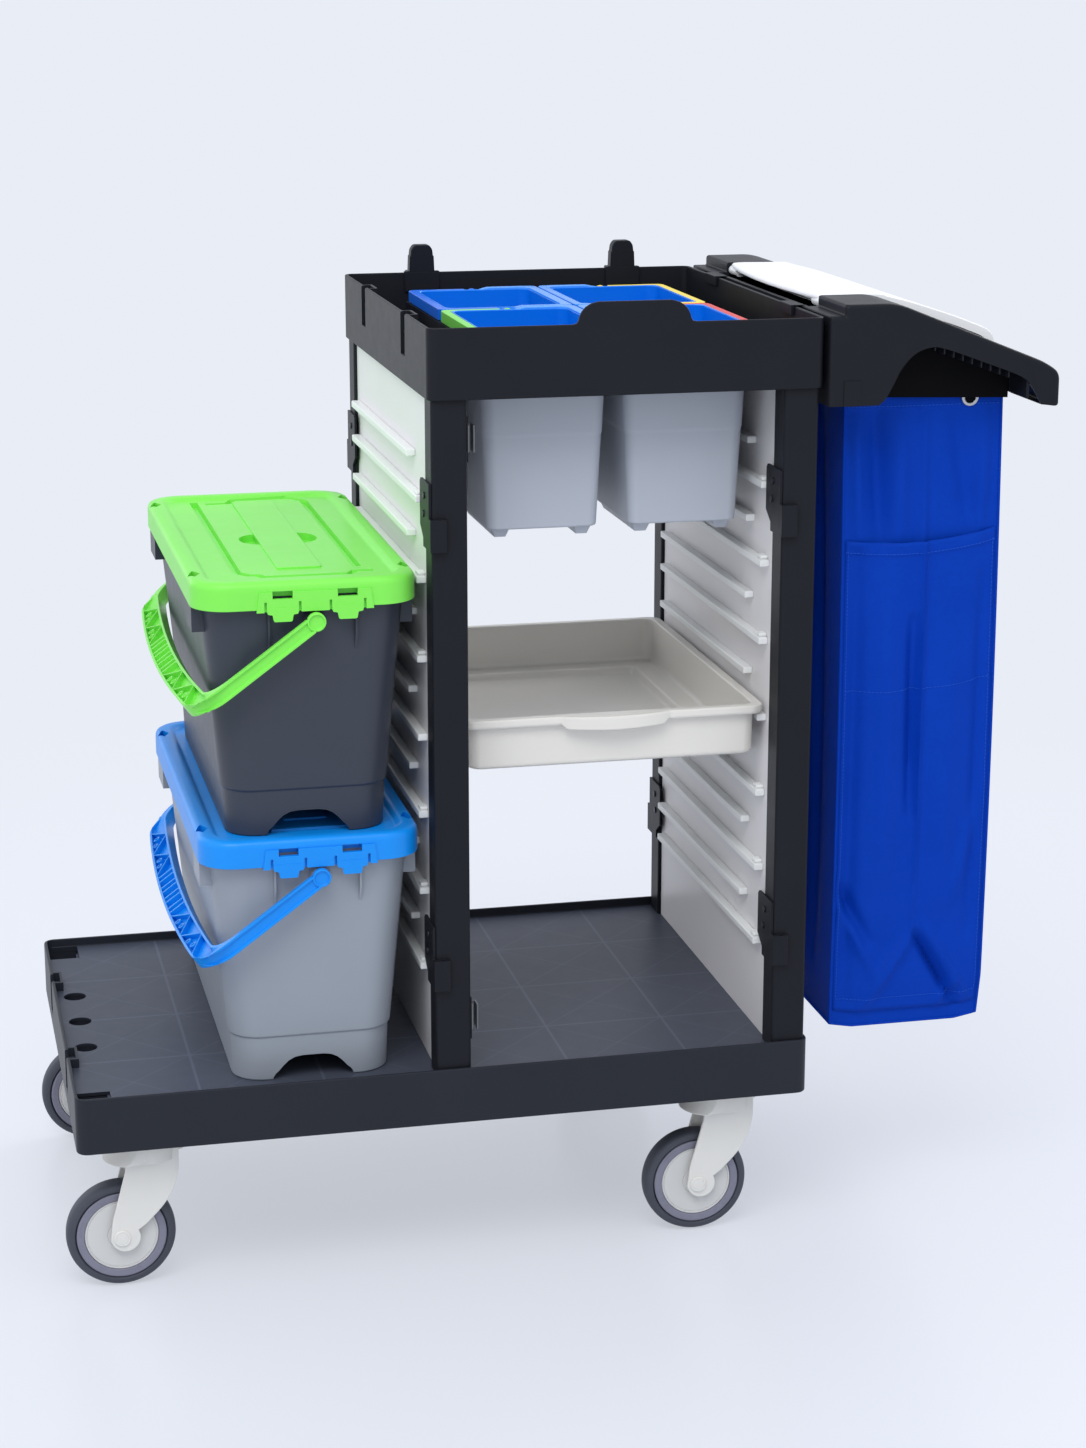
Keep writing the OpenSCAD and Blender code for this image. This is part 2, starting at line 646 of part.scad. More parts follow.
// The drawer's walls stand in from its rim, and two strips under the rim ride on the runners.
module drawer() color("#e3e5e4") place() translate([tower_mid, drawer_y0 + drawer_l / 2, drawer_top - drawer_h]) {
    body_w = drawer_w - 2 * drawer_rim_out;
    body_l = drawer_l - 2 * drawer_rim_out;
    rim_z = drawer_h - drawer_rim_h;
    difference() {
        union() {
            round_plate(body_w, body_l, drawer_r, drawer_h);
            translate([0, 0, rim_z]) round_plate(drawer_w, drawer_l, drawer_r + 2, drawer_rim_h);
            for (x = [-drawer_w / 2 + 1, drawer_w / 2 - drawer_rim_out - 1])
                translate([x, -drawer_l / 2 + drawer_slide_in, rim_z - slide_h])
                    cube([drawer_rim_out, drawer_l - 2 * drawer_slide_in, slide_h + 1]);
            side_plate(-drawer_l / 2, drawer_rim_out + 4) polygon([
                [-drawer_grip / 2 - 6, rim_z + 1], [-drawer_grip / 2, rim_z - lip_drop / 2],
                [-drawer_grip / 2 + 10, rim_z - lip_drop + 1], [0, rim_z - lip_drop],
                [drawer_grip / 2 - 10, rim_z - lip_drop + 1], [drawer_grip / 2, rim_z - lip_drop / 2],
                [drawer_grip / 2 + 6, rim_z + 1]]);
            translate([0, 0, -drawer_step]) round_plate(body_w - 2 * drawer_floor_in, body_l - 2 * drawer_floor_in, drawer_r - 2, drawer_step + eps);
        }
        translate([0, 0, drawer_floor_t])
            round_plate(body_w - 2 * drawer_wall, body_l - 2 * drawer_wall, drawer_r - drawer_wall, drawer_h);
        translate([0, 0, drawer_wall - drawer_step]) round_plate(body_w - 2 * (drawer_floor_in + drawer_wall),
            body_l - 2 * (drawer_floor_in + drawer_wall), drawer_r - 2 - drawer_wall, drawer_h);
    }
}

// Mop buckets

lug_l = 40;
lug_h = 31;
lug_y = 0.37;
arch_w = 92;
arch_h = 28;
tab_w = 21;
tab_x = 35.5;
tab_drop = 9;

module at_bucket(level) place() translate([bucket_x, bucket_y, deck_z + level * bucket_h]) children();

// Half of the arch cut in a foot ring's end, as a list of points.
arch_half = [[1, -0.1], [1, 0.1], [0.87, 0.36], [0.7, 0.68], [0.48, 0.9], [0.22, 1]];

module foot_arch() polygon(concat(
    [for (p = arch_half) [p[0] * arch_w / 2, p[1] * arch_h]],
    [for (k = [len(arch_half) - 1:-1:0]) [-arch_half[k][0] * arch_w / 2, arch_half[k][1] * arch_h]]));

module bucket(level) at_bucket(level) {
    top_z = lid_z + lid_h - lid_up - lid_t;
    floor_z = arch_h + 4;
    difference() {
        union() {
            taper(foot_w - 4, foot_l - 4, 24, foot_w, foot_l, 26, foot_h);
            translate([0, 0, foot_h - eps])
                taper(foot_w + 4, foot_l + 4, 28, rim_w, rim_l, 30, lid_z - foot_h + eps);
            translate([0, 0, lid_z - eps]) round_plate(rim_w, rim_l, 30, top_z - lid_z + eps);
            for (s = [-1, 1]) for (k = [-1, 1])
                translate([s > 0 ? rim_w / 2 - 16 : -lid_w / 2 + 2, k * lug_y * lid_l - lug_l / 2, lid_z - lug_h])
                    cube([16 + rim_in - 2, lug_l, lug_h]);
            for (s = [-1, 1]) translate([pivot_x, 0, pivot_z])
                y_rod(pivot_d, s > 0 ? rim_l / 2 - 24 : -bail_half - 3, bail_half + 3 - rim_l / 2 + 24);
        }
        translate([0, 0, floor_z]) taper(foot_w - 4 - 2 * bucket_wall, foot_l - 4 - 2 * bucket_wall, 22,
            rim_w - 2 * bucket_wall, rim_l - 2 * bucket_wall, 27, lid_z - floor_z);
        translate([0, 0, lid_z - 1]) round_plate(rim_w - 2 * bucket_wall, rim_l - 2 * bucket_wall, 27, lid_h);
        translate([0, 0, -1]) round_plate(foot_w - 14, foot_l - 14, 18, arch_h + 1);
        for (k = [-1, 1]) translate([0, k * foot_l / 2, 0]) side_plate(-20, 40) foot_arch();
    }
}

border_w = 20;
groove_w = 8;
groove_t = 2;
strip_w = 49;
panel_w0 = 132;
panel_l0 = 446;

// The outline of the lid's middle panel: a rectangle with cut corners.
module panel_outline(w, l, cut) polygon([
    [-w / 2 + cut, -l / 2], [w / 2 - cut, -l / 2], [w / 2, -l / 2 + cut], [w / 2, l / 2 - cut],
    [w / 2 - cut, l / 2], [-w / 2 + cut, l / 2], [-w / 2, l / 2 - cut], [-w / 2, -l / 2 + cut]]);

// A lid has a border that stands above its middle, a grooved panel with two finger recesses, and
// snap tabs with slots above them at its ends.
module lid(level) at_bucket(level) translate([0, 0, lid_z]) difference() {
    top = lid_h - lid_up;
    union() {
        round_plate(lid_w, lid_l, 34, lid_h - 10);
        translate([0, 0, lid_h - 10 - eps]) taper(lid_w, lid_l, 34, lid_w - 12, lid_l - 12, 28, 10 + eps);
        for (s = [-1, 1]) for (k = [-1, 1])
            translate([pivot_x + k * tab_x - tab_w / 2, s > 0 ? lid_l / 2 - 3 : -lid_l / 2, -tab_drop])
                cube([tab_w, 3, tab_drop + eps]);
    }
    translate([0, 0, -1]) round_plate(rim_w + 1, rim_l + 1, 30.5, top - lid_t + 1);
    translate([0, 0, top]) round_plate(lid_w - 2 * border_w, lid_l - 2 * border_w, 20, lid_up + 1);
    translate([0, 0, top - groove_t]) linear_extrude(groove_t + 1) difference() {
        panel_outline(panel_w0, panel_l0, 26);
        panel_outline(panel_w0 - 2 * groove_w, panel_l0 - 2 * groove_w, 23);
    }
    for (s = [-1, 1]) translate([s * strip_w / 2, -22, top - lid_t + 1]) intersection() {
        cylinder(d = 52, h = lid_t);
        translate([s > 0 ? 0 : -18, -30, 0]) cube([18, 60, lid_t]);
    }
    for (s = [-1, 1]) for (k = [-1, 1]) translate([pivot_x + k * tab_x - tab_w / 2, s * lid_l / 2 - 6, lid_h - 15])
        cube([tab_w, 12, 8]);
}

bail_bow = 11;
truss_n = 9;

// The outline of a bail: arms from the pivots on the Y axis to a bowed grip at -X.
module bail_outline(half, s, r) polygon(concat(
    [[0, -half]],
    [for (a = [0:15:90]) [-s + r - r * sin(a), -half + r - r * cos(a)]],
    [for (k = [1:9]) let (y = -half + r + k * (2 * half - 2 * r) / 10)
        [-s - bail_bow * (1 - pow(y / (half - r), 2)), y]],
    [for (a = [90:-15:0]) [-s + r - r * sin(a), half - r + r * cos(a)]],
    [[0, half]]));

// The triangular openings of the grip's lattice.
module bail_truss() {
    cell = 2 * (bail_half - 48) / truss_n;
    for (k = [0:truss_n - 1]) {
        y = -bail_half + 48 + (k + 0.5) * cell;
        inner = -bail_reach - bail_bow * (1 - pow(y / (bail_half - 40), 2)) - 4;
        outer = inner - bail_band + 7;
        up = k % 2 == 0;
        polygon([[up ? inner : outer, y - cell / 2 + 4], [up ? inner : outer, y + cell / 2 - 4],
            [up ? outer : inner, y]]);
    }
}

module bail(level) at_bucket(level) translate([pivot_x, 0, pivot_z]) rotate([0, -bail_rest, 0]) difference() {
    union() {
        translate([0, 0, -bail_depth / 2]) linear_extrude(bail_depth) difference() {
            bail_outline(bail_half, bail_reach + bail_band, 46);
            translate([eps, 0]) bail_outline(bail_half - bail_t, bail_reach, 30);
            bail_truss();
        }
        for (s = [-bail_half, bail_half - bail_t]) y_rod(21, s, bail_t);
    }
    y_rod(pivot_d + 2 * run, -bail_half - 1, 2 * bail_half + 2);
}

// Small bins

step = bin_bail_w + 0.6;
bin_top_w = bin_w - 2 * step - 1;
bin_top_l = bin_l - 2 * step - 1;
bin_foot = 10;

module at_bin(i) place() translate(concat(bin_at(i), bin_z0)) mirror([right(i), 0, 0]) children();

// The left half of a bin's rim stands back, so that the bail lies flush round it.
module bin_rim_flat(inset) {
    translate([-bin_w / 2 + step + inset, -bin_l / 2 + step + inset])
        square([bin_w - step - 2 * inset, bin_l - 2 * step - 2 * inset]);
    translate([8 + inset, -bin_l / 2 + inset]) square([bin_w / 2 - 8 - 2 * inset, bin_l - 2 * inset]);
}

module bin(i) color("#969da8") at_bin(i) difference() {
    low_w = bin_top_w - 2 * bin_taper;
    low_l = bin_top_l - 2 * bin_taper;
    union() {
        taper(low_w, low_l, 12, bin_top_w, bin_top_l, 16, bin_h - bin_rim_h + eps);
        translate([0, 0, bin_h - bin_rim_h]) linear_extrude(bin_rim_h - liner_t) bin_rim_flat(0);
        for (x = [-1, 1]) translate([x * (low_w / 2 - 16) - 10, -low_l / 2 + 8, -bin_foot]) cube([20, low_l - 16, bin_foot + eps]);
        translate([0, 0, bin_h - bin_rim_h / 2]) y_rod(bin_pivot_d, -bin_l / 2, bin_l);
    }
    translate([0, 0, bin_wall]) taper(low_w - 2 * bin_wall, low_l - 2 * bin_wall, 10,
        bin_top_w - 2 * bin_wall, bin_top_l - 2 * bin_wall, 14, bin_h - bin_rim_h - bin_wall);
    translate([0, 0, bin_h - bin_rim_h - eps])
        round_plate(bin_top_w - 2 * bin_wall, bin_top_l - 2 * bin_wall, 14, bin_rim_h + 1);
}

module liner(i) color("#0064d7") at_bin(i) difference() {
    off = 2 * (bin_wall + gap);
    low_w = bin_top_w - 2 * bin_taper - off;
    low_l = bin_top_l - 2 * bin_taper - off;
    seat = bin_h - bin_rim_h;
    z0 = bin_wall + gap;
    union() {
        translate([0, 0, z0]) taper(low_w, low_l, 10, bin_top_w - off, bin_top_l - off, 14, seat - z0 + eps);
        translate([0, 0, seat]) round_plate(bin_top_w - off, bin_top_l - off, 14, bin_rim_h);
        translate([0, 0, bin_h - liner_t]) linear_extrude(liner_t) bin_rim_flat(0);
    }
    translate([0, 0, z0 + liner_t]) taper(low_w - 2 * liner_t, low_l - 2 * liner_t, 9,
        bin_top_w - off - 2 * liner_t, bin_top_l - off - 2 * liner_t, 13, seat - z0 - liner_t);
    translate([0, 0, seat - eps]) round_plate(bin_top_w - off - 2 * liner_t, bin_top_l - off - 2 * liner_t, 13,
        bin_rim_h + 1);
}

module bin_bail(i) color(BIN_COLOURS[i]) at_bin(i) translate([0, 0, bin_h - bin_rim_h / 2]) difference() {
    depth = bin_rim_h - 1.4;
    union() {
        translate([0, 0, -depth / 2]) linear_extrude(depth) difference() {
            translate([-bin_w / 2, -bin_l / 2]) square([bin_w / 2, bin_l]);
            translate([-bin_w / 2 + bin_bail_w, -bin_l / 2 + bin_bail_w])
                square([bin_w, bin_l - 2 * bin_bail_w]);
        }
        for (s = [-bin_l / 2, bin_l / 2 - bin_bail_w]) y_rod(depth, s, bin_bail_w);
    }
    y_rod(bin_pivot_d + 2 * run, -bin_l / 2 - 1, bin_l + 2);
}

// Bag holder

rail_w = 22;
hook_l = 44;
rod_x = holder_x0 + 25;
rod_z = holder_z1 - 9;
web_x = [bag_mid - hanger_w / 2 - arm_t, bag_mid + hanger_w / 2];

// Height of an arm's top at x: level by the tray, then sloping down to the tip.
function arm_top(x) = holder_z1 - arm_fall * max(0, x - flat_end) / (slope_end - flat_end);

ledge = 17;
rail_ledge = 6;

// The side view of an arm, without its arch.
module arm_side(inset) polygon([
    [holder_x0 + inset, holder_z0], [holder_x0 + inset, holder_z1 - 12 - inset],
    [holder_x0 + ledge + inset, holder_z1 - 12 - inset], [holder_x0 + ledge + inset, holder_z1 - inset],
    [flat_end - inset / 4, holder_z1 - inset], [slope_end - inset / 2, holder_z1 - arm_fall - inset],
    [holder_x1 - 6 - inset, holder_z1 - arm_fall - 8], [holder_x1 - inset, holder_z1 - arm_fall - 16],
    [holder_x1 - inset, holder_z0 - 8], [holder_x1 - 22 + inset, holder_z0 - 5]]);

arch_x0 = holder_x0 + 58;
arch_top = holder_z1 - 50;

// The hand-sized arch under an arm's slope.
module arch_profile() polygon([
    [arch_x0, holder_z0 - 30], [arch_x0, holder_z0], [arch_x0 + 8, holder_z0 + 6], [arch_x0 + 26, arch_top - 20],
    [arch_x0 + 42, arch_top - 5], [arch_x0 + 58, arch_top], [arch_x0 + 76, arch_top - 1],
    [holder_x1 - 43, arch_top - 36], [holder_x1 - 32, arch_top - 50], [holder_x1 - 22, holder_z0 - 5],
    [holder_x1 - 22, holder_z0 - 30]]);

rib_n = 9;
rib_pitch = 11;

// An arm: a skin that bends over the slope, an outer wall with an arch, a short inner wall that
// holds the hinge rod, two webs that hold the hanger and a row of ribs.
module arm(y0, outer) {
    out_y = outer ? y0 : y0 + arm_w - arm_t;
    in_y = outer ? y0 + arm_w - arm_t : y0;
    difference() {
        union() {
            side_plate(y0, arm_w) difference() {
                arm_side(0);
                arm_side(arm_t);
                translate([holder_x0 + arm_t, holder_z0 - 20]) square([holder_l - 2 * arm_t, 20 + arm_t]);
            }
            side_plate(out_y, arm_t) difference() {
                arm_side(0);
                arch_profile();
            }
            side_plate(in_y, arm_t) intersection() {
                arm_side(0);
                translate([holder_x0, holder_z0]) square([web_x[0] + arm_t - holder_x0, holder_h]);
            }
            for (x = web_x) side_plate(y0, arm_w) translate([x, holder_z0 + 2])
                square([arm_t, arm_top(x + arm_t) - holder_z0 - 4]);
            for (k = [0:rib_n - 1]) let (x = arch_x0 + 62 + k * rib_pitch)
                side_plate(outer ? y0 : y0 + arm_w / 2, arm_w / 2) translate([x, arm_top(x) - 22]) square([1.6, 20]);
            if (outer) translate([holder_x0 + 17, y0 - 1, holder_z0]) cube([20, 1 + eps, 28]);
        }
        translate([rod_x, 0, rod_z]) y_rod(rod_d, in_y - 1, arm_t + 2);
        translate([bag_mid - hanger_w / 2, outer ? mid_y - hanger_l / 2 : y0 - 1, holder_z0 - 20])
            cube([hanger_w, outer ? arm_w : mid_y + hanger_l / 2 - y0 + 1, hanger_h + 20]);
    }
}

module bag_arm_front() color(black) place() arm(0, true);
module bag_arm_rear() color(black) place() arm(base_d - arm_w, false);

// The rail joins the arms and hooks over the tray's right wall.
module bag_rail() color(black) place() {
    y0 = arm_w;
    l = base_d - 2 * arm_w;
    top = holder_z1 - 12;
    translate([holder_x0, y0, holder_z0]) cube([arm_t, l, top - holder_z0]);
    translate([holder_x0, y0, top - 3]) cube([rail_ledge, l, 3]);
    for (y = [y0 + 6, y0 + l - 6 - hook_l]) {
        translate([base_l - tray_wall - 4, y, cart_h]) cube([holder_gap + tray_wall + 4 + arm_t, hook_l, 2]);
        translate([base_l - tray_wall - 4, y, cart_h - 10]) cube([4, hook_l, 10 + eps]);
        translate([holder_x0, y, top - 3]) cube([arm_t, hook_l, cart_h + 2 - top + 3]);
    }
}

// The frame that the bag hangs in, held between the webs of the arms.
module bag_hanger() color(black) place() translate([bag_mid, mid_y, holder_z0]) difference() {
    translate([-hanger_w / 2, -hanger_l / 2, 0]) cube([hanger_w, hanger_l, hanger_h]);
    translate([-hanger_w / 2 + hanger_t, -hanger_l / 2 + hanger_t, -1])
        cube([hanger_w - 2 * hanger_t, hanger_l - 2 * hanger_t, hanger_h + 2]);
}

module lid_hinge_rod() color("silver") place() translate([rod_x, 0, rod_z])
    y_rod(rod_d, arm_w - arm_t, base_d - 2 * arm_w + 2 * arm_t);

cover_clear = 1.5;
cover_lip = 64;
cover_bow = 13;
cover_edge = 6;
knuckle_l = 30;

// The lid's top, as steps from where the arms' slope begins: level, then bowed down to its front lip.
cover_end = web_x[1] - 8 - flat_end;
cover_path = [[rod_x - flat_end, 0], [6, 0], [26, -4], [74, -18], [cover_end - 14, -40], [cover_end - 4, -46],
    [cover_end, -54]];

// The lid's hinge edge, which bows out over the rail.
function cover_arc(l, out, way) = [for (k = [-8:8]) [-cover_bow * (1 - k * k / 64) - out, way * k * l / 16]];

module bag_lid() color("white") place() {
    y0 = arm_w + cover_clear;
    l = base_d - 2 * y0;
    n = len(cover_path);
    difference() {
        union() {
            translate([flat_end, 0, holder_z1]) side_plate(y0, l) polygon(concat(
                cover_path, [[cover_end, -cover_lip], [cover_end - cover_t, -cover_lip]],
                [for (k = [n - 1:-1:0]) cover_path[k] - [k > 2 ? cover_t * 0.7 : 0, cover_t]]));
            translate([rod_x, y0 + l / 2, holder_z1]) {
                translate([0, 0, -cover_t]) linear_extrude(cover_t)
                    polygon(concat(cover_arc(l, cover_t, 1), [[1, l / 2], [1, -l / 2]]));
                translate([0, 0, -cover_edge]) linear_extrude(cover_edge)
                    polygon(concat(cover_arc(l, cover_t, 1), cover_arc(l, 0, -1)));
            }
            for (y = [y0, y0 + l - knuckle_l]) translate([rod_x, 0, rod_z]) {
                y_rod(rod_d + 6, y, knuckle_l);
                translate([0, y, 0]) cube([rod_d / 2 + 3, knuckle_l, holder_z1 - rod_z]);
            }
        }
        translate([rod_x, 0, rod_z]) y_rod(rod_d + 2 * run, 0, base_d);
    }
}

bag_z1 = holder_z0 + bag_hem;

module waste_bag() color("#0037a5") place() translate([bag_mid, mid_y, bag_z1 - bag_h]) difference() {
    round_plate(bag_w, bag_l, 10, bag_h);
    translate([0, 0, bag_t]) round_plate(bag_w - 2 * bag_t, bag_l - 2 * bag_t, 8, bag_h);
}

eyelet_d = 16;
eyelet_in = 40;
eyelet_t = 1.5;
eyelet_rim = 4;

module bag_eyelets() color("silver") place() for (y = [-1, 1])
    translate([bag_mid + bag_w / 2 - eyelet_in, mid_y + y * (bag_l / 2), holder_z0 - eyelet_d / 2 - 0.3]) difference() {
        y_rod(eyelet_d, y > 0 ? 0 : -eyelet_t, eyelet_t);
        y_rod(eyelet_d - 2 * eyelet_rim, -2 * eyelet_t, 4 * eyelet_t);
    }

base_tray();
caster_plates();
caster_bolts();
for (i = [0:3]) {
    fork(i);
    axle(i);
    hub(i);
    tyre(i);
    post(i);
    bin(i);
    liner(i);
    bin_bail(i);
}
panel(0);  // left_panel
runners(0);  // left_runners
panel(1);  // right_panel
runners(1);  // right_runners
top_tray();
door_brackets();
bracket_screws();
door_catches();
tool_clips();
drawer();
color("#878c92") bucket(0);  // lower_bucket
color("#007df5") lid(0);  // lower_lid
color("#007df5") bail(0);  // lower_bail
color("#3e4450") bucket(1);  // upper_bucket
color("#7de855") lid(1);  // upper_lid
color("#7de855") bail(1);  // upper_bail
bag_rail();
bag_arm_front();
bag_arm_rear();
bag_hanger();
lid_hinge_rod();
bag_lid();
waste_bag();
bag_eyelets();
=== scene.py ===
# %% [markdown]
# # A janitor cart, dressed for its portrait
#
# The cart is already built as solids, with every joint in place. This lesson loads those solids as a
# fixed frame and gives each piece the soft edges, fine parts and finishes that the real cart shows.

# %% Load the frame
import json
import math

import bmesh
import bpy
from mathutils import Matrix, Vector


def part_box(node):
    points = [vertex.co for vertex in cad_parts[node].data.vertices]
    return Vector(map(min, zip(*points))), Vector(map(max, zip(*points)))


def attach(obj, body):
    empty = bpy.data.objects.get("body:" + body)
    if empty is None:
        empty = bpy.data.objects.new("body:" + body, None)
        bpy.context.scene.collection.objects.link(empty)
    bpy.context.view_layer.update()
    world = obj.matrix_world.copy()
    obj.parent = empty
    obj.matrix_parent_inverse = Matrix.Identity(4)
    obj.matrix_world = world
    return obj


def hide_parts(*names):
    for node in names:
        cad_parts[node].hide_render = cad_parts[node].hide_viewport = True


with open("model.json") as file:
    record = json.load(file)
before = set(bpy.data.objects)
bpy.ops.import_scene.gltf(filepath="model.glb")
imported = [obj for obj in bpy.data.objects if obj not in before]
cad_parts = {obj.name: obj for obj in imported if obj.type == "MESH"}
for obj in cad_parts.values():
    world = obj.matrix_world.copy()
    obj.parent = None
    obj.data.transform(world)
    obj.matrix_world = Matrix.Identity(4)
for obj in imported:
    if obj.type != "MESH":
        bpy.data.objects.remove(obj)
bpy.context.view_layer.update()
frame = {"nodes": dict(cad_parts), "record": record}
mm = 0.001
CORNERS = ("front_left", "front_right", "rear_left", "rear_right")
body_of_node = {n: b for b, members in frame["record"]["behaviour"]["bodies"].items() for n in members}

# %% [markdown]
# ## The camera
#
# The photograph was taken from the front, a little towards the bucket end and from above the tray. Its
# angle and focal length come from the cart's own straight edges, so the camera stands where the
# photographer stood. A camera's own Z axis points backwards, which is why the turn is written with the
# backward direction last.

# %% Camera
IMAGE_HEIGHT = 1448
FOCAL_PIXELS = 2920.7
SENSOR_HEIGHT = 36
AZIMUTH, ELEVATION = math.radians(-12.9), math.radians(14.86)
CAMERA_AT = Vector((-0.72513, -3.34499, 1.4809))


def add_object(name, data):
    """A new object in the scene."""
    thing = bpy.data.objects.new(name, data)
    bpy.context.scene.collection.objects.link(thing)
    return thing


back = Vector((
    math.sin(AZIMUTH) * math.cos(ELEVATION),
    -math.cos(AZIMUTH) * math.cos(ELEVATION),
    math.sin(ELEVATION),
))
side = Vector((math.cos(AZIMUTH), math.sin(AZIMUTH), 0))
upward = back.cross(side)
lens = bpy.data.cameras.new("portrait")
lens.sensor_fit = "VERTICAL"
lens.sensor_height = SENSOR_HEIGHT
lens.lens = FOCAL_PIXELS / IMAGE_HEIGHT * SENSOR_HEIGHT
camera = add_object("portrait", lens)
camera.matrix_world = Matrix.Translation(CAMERA_AT) @ Matrix((side, upward, back)).transposed().to_4x4()
bpy.context.scene.camera = camera
print("lens", round(lens.lens, 2), "mm")

# %% [markdown]
# ## Shader sums
#
# A finish is a small sum: noise times a depth, added to a base roughness. Written with nodes alone such
# a sum is hard to read, so one class wraps a socket and lets Python's own signs add the Math nodes. Any
# other node comes from its `node` method, which sets the node's options first and its sockets after.


# %% The socket class
class Wire:
    def __init__(self, tree, socket=None):
        self.tree = tree
        self.socket = socket

    def node(self, kind, sockets=None, out=0, **settings):
        made = self.tree.nodes.new("ShaderNode" + kind)
        for key, value in settings.items():
            setattr(made, key, value)
        for key, value in (sockets or {}).items():
            if isinstance(value, Wire):
                value.into(made.inputs[key])
            else:
                made.inputs[key].default_value = value
        return Wire(self.tree, made.outputs[out])

    def into(self, socket):
        self.tree.links.new(self.socket, socket)

    def sum(self, operation, a, b=0.0):
        return self.node("Math", {0: a, 1: b}, operation=operation)

    def noise(self, where, scale, detail, rough=0.5):
        return self.node("TexNoise", {"Vector": where, "Scale": scale, "Detail": detail, "Roughness": rough})

    def blend(self, share, first, second):
        return self.node("Mix", {"Factor": share, 6: first, 7: second}, 2, data_type="RGBA")

    def split(self, vector):
        return [self.node("SeparateXYZ", {"Vector": vector}, axis) for axis in "XYZ"]

    def __add__(self, other):
        return self.sum("ADD", self, other)

    def __mul__(self, other):
        return self.sum("MULTIPLY", self, other)

    def __sub__(self, other):
        return self.sum("SUBTRACT", self, other)

    def __rsub__(self, other):
        return self.sum("SUBTRACT", other, self)

    def __gt__(self, other):
        return self.sum("GREATER_THAN", self, other)

    def __lt__(self, other):
        return self.sum("LESS_THAN", self, other)

    __radd__ = __add__
    __rmul__ = __mul__


print("shader sums ready")

# %% [markdown]
# Every finish starts in the same way and ends in the same way: a colour, a roughness and a fine relief are
# joined to one shader. A colour is written as a screen shows it, and is turned into the numbers that light
# adds up in.

# %% The start and end of a finish
RELIEF_DEPTH = 0.4 * mm
SLOTS = {}


def linear(red, green, blue):
    """A screen colour, 0 to 255, in the numbers that light adds up in."""
    shown = [c / 255 for c in (red, green, blue)]
    return tuple(c / 12.92 if c <= 0.04045 else ((c + 0.055) / 1.055) ** 2.4 for c in shown)


def shade(colour, gain=1.0, lift=0.0):
    """A screen colour made darker or lighter, as a socket takes it."""
    return (*[min(c * gain + lift, 1) for c in linear(*colour)], 1)


def start_finish(name, slot):
    """A new material: itself, a wire to build on, its shader's sockets and the place on the piece."""
    SLOTS[name] = slot
    finish = bpy.data.materials.new(name)
    finish.use_nodes = True
    wire = Wire(finish.node_tree)
    sockets = finish.node_tree.nodes["Principled BSDF"].inputs
    return finish, wire, sockets, wire.node("TexCoord", out="Object")


def join_finish(wire, sockets, tint, rough, relief=None, strength=0.0):
    """Joins a colour, a roughness and a fine relief to a finish's shader."""
    tint.into(sockets["Base Color"])
    rough.into(sockets["Roughness"])
    if relief is not None:
        bump = wire.node("Bump", {"Height": relief, "Strength": strength, "Distance": RELIEF_DEPTH})
        bump.into(sockets["Normal"])


print("relief depth", RELIEF_DEPTH, "m")

# %% [markdown]
# ## Moulded plastic
#
# Nearly all of the cart is injection-moulded plastic. Its face is not one flat colour: the tool leaves a
# fine grain, the melt leaves a faint cloudiness, and handling leaves duller patches. Three noises of
# different sizes give these. They read the object's own coordinates, which are metres here, so the grain
# has its true size on every piece.

# %% Plastic finishes
GRAINS_PER_M, CLOUDS_PER_M, SCUFFS_PER_M = 1 / (1.1 * mm), 9.0, 45.0
SCUFF = 0.12


def plastic(name, slot, colour, rough=0.38, grain=0.05, cloud=0.06, shine=0.3, lit_marks=None, pale=1.0):
    finish, wire, sockets, where = start_finish(name, slot)
    grains = wire.noise(where, GRAINS_PER_M, 1.0)
    clouds = wire.noise(where, CLOUDS_PER_M, 3.0, 0.55)
    scuffs = wire.noise(where, SCUFFS_PER_M, 4.0, 0.7)
    tint = wire.blend(clouds, shade(colour, 1 - cloud), shade(colour, 1 + cloud, 0.012 * cloud))
    # painted light: where the mask is one, the colour is pale times brighter
    if lit_marks:
        tint = wire.blend(lit_marks(wire, where), tint, shade(colour, pale))
    join_finish(wire, sockets, tint, rough - SCUFF / 2 + SCUFF * scuffs, grains, grain)
    sockets["Specular IOR Level"].default_value = shine
    return finish


# Each plastic: name, slot, colour, roughness, depth of the grain, cloudiness and shine.
BLACK = plastic("anthracite_plastic", "black_plastic", (27, 29, 35), 0.42, 0.1, 0.1, 0.12)
# painted shade: a near-black for the shade inside the arms and in the eyelets' holes
SHADE_BLACK = plastic("deep_black_plastic", "black_plastic", (11, 11, 13), 0.6, 0.05, 0.1, 0.05)
PALE = plastic("pale_panel_plastic", "pale_plastic", (226, 224, 225), 0.38, 0.04, 0.025)
RUNNER = plastic("runner_plastic", "runner_plastic", (233, 235, 234), 0.36, 0.03, 0.02)
FORK = plastic("fork_plastic", "fork_plastic", (222, 221, 216), 0.4, 0.06, 0.03)
HUB = plastic("hub_plastic", "hub_plastic", (205, 205, 203), 0.4, 0.05, 0.03)
DRAWER = plastic("drawer_plastic", "drawer_plastic", (221, 218, 211), 0.34, 0.03, 0.02)
LOWER_GREY = plastic("lower_bucket_plastic", "lower_bucket_grey", (146, 153, 162), 0.42, 0.06, 0.04)
UPPER_DARK = plastic("upper_bucket_plastic", "upper_bucket_dark", (56, 61, 72), 0.4, 0.06, 0.06)
BLUE = plastic("blue_lid_plastic", "blue_plastic", (10, 138, 232), 0.36, 0.04, 0.05)
GREEN = plastic("green_lid_plastic", "green_plastic", (126, 228, 84), 0.36, 0.04, 0.05)
BIN = plastic("small_bin_plastic", "bin_grey", (174, 180, 190), 0.45, 0.05, 0.03)
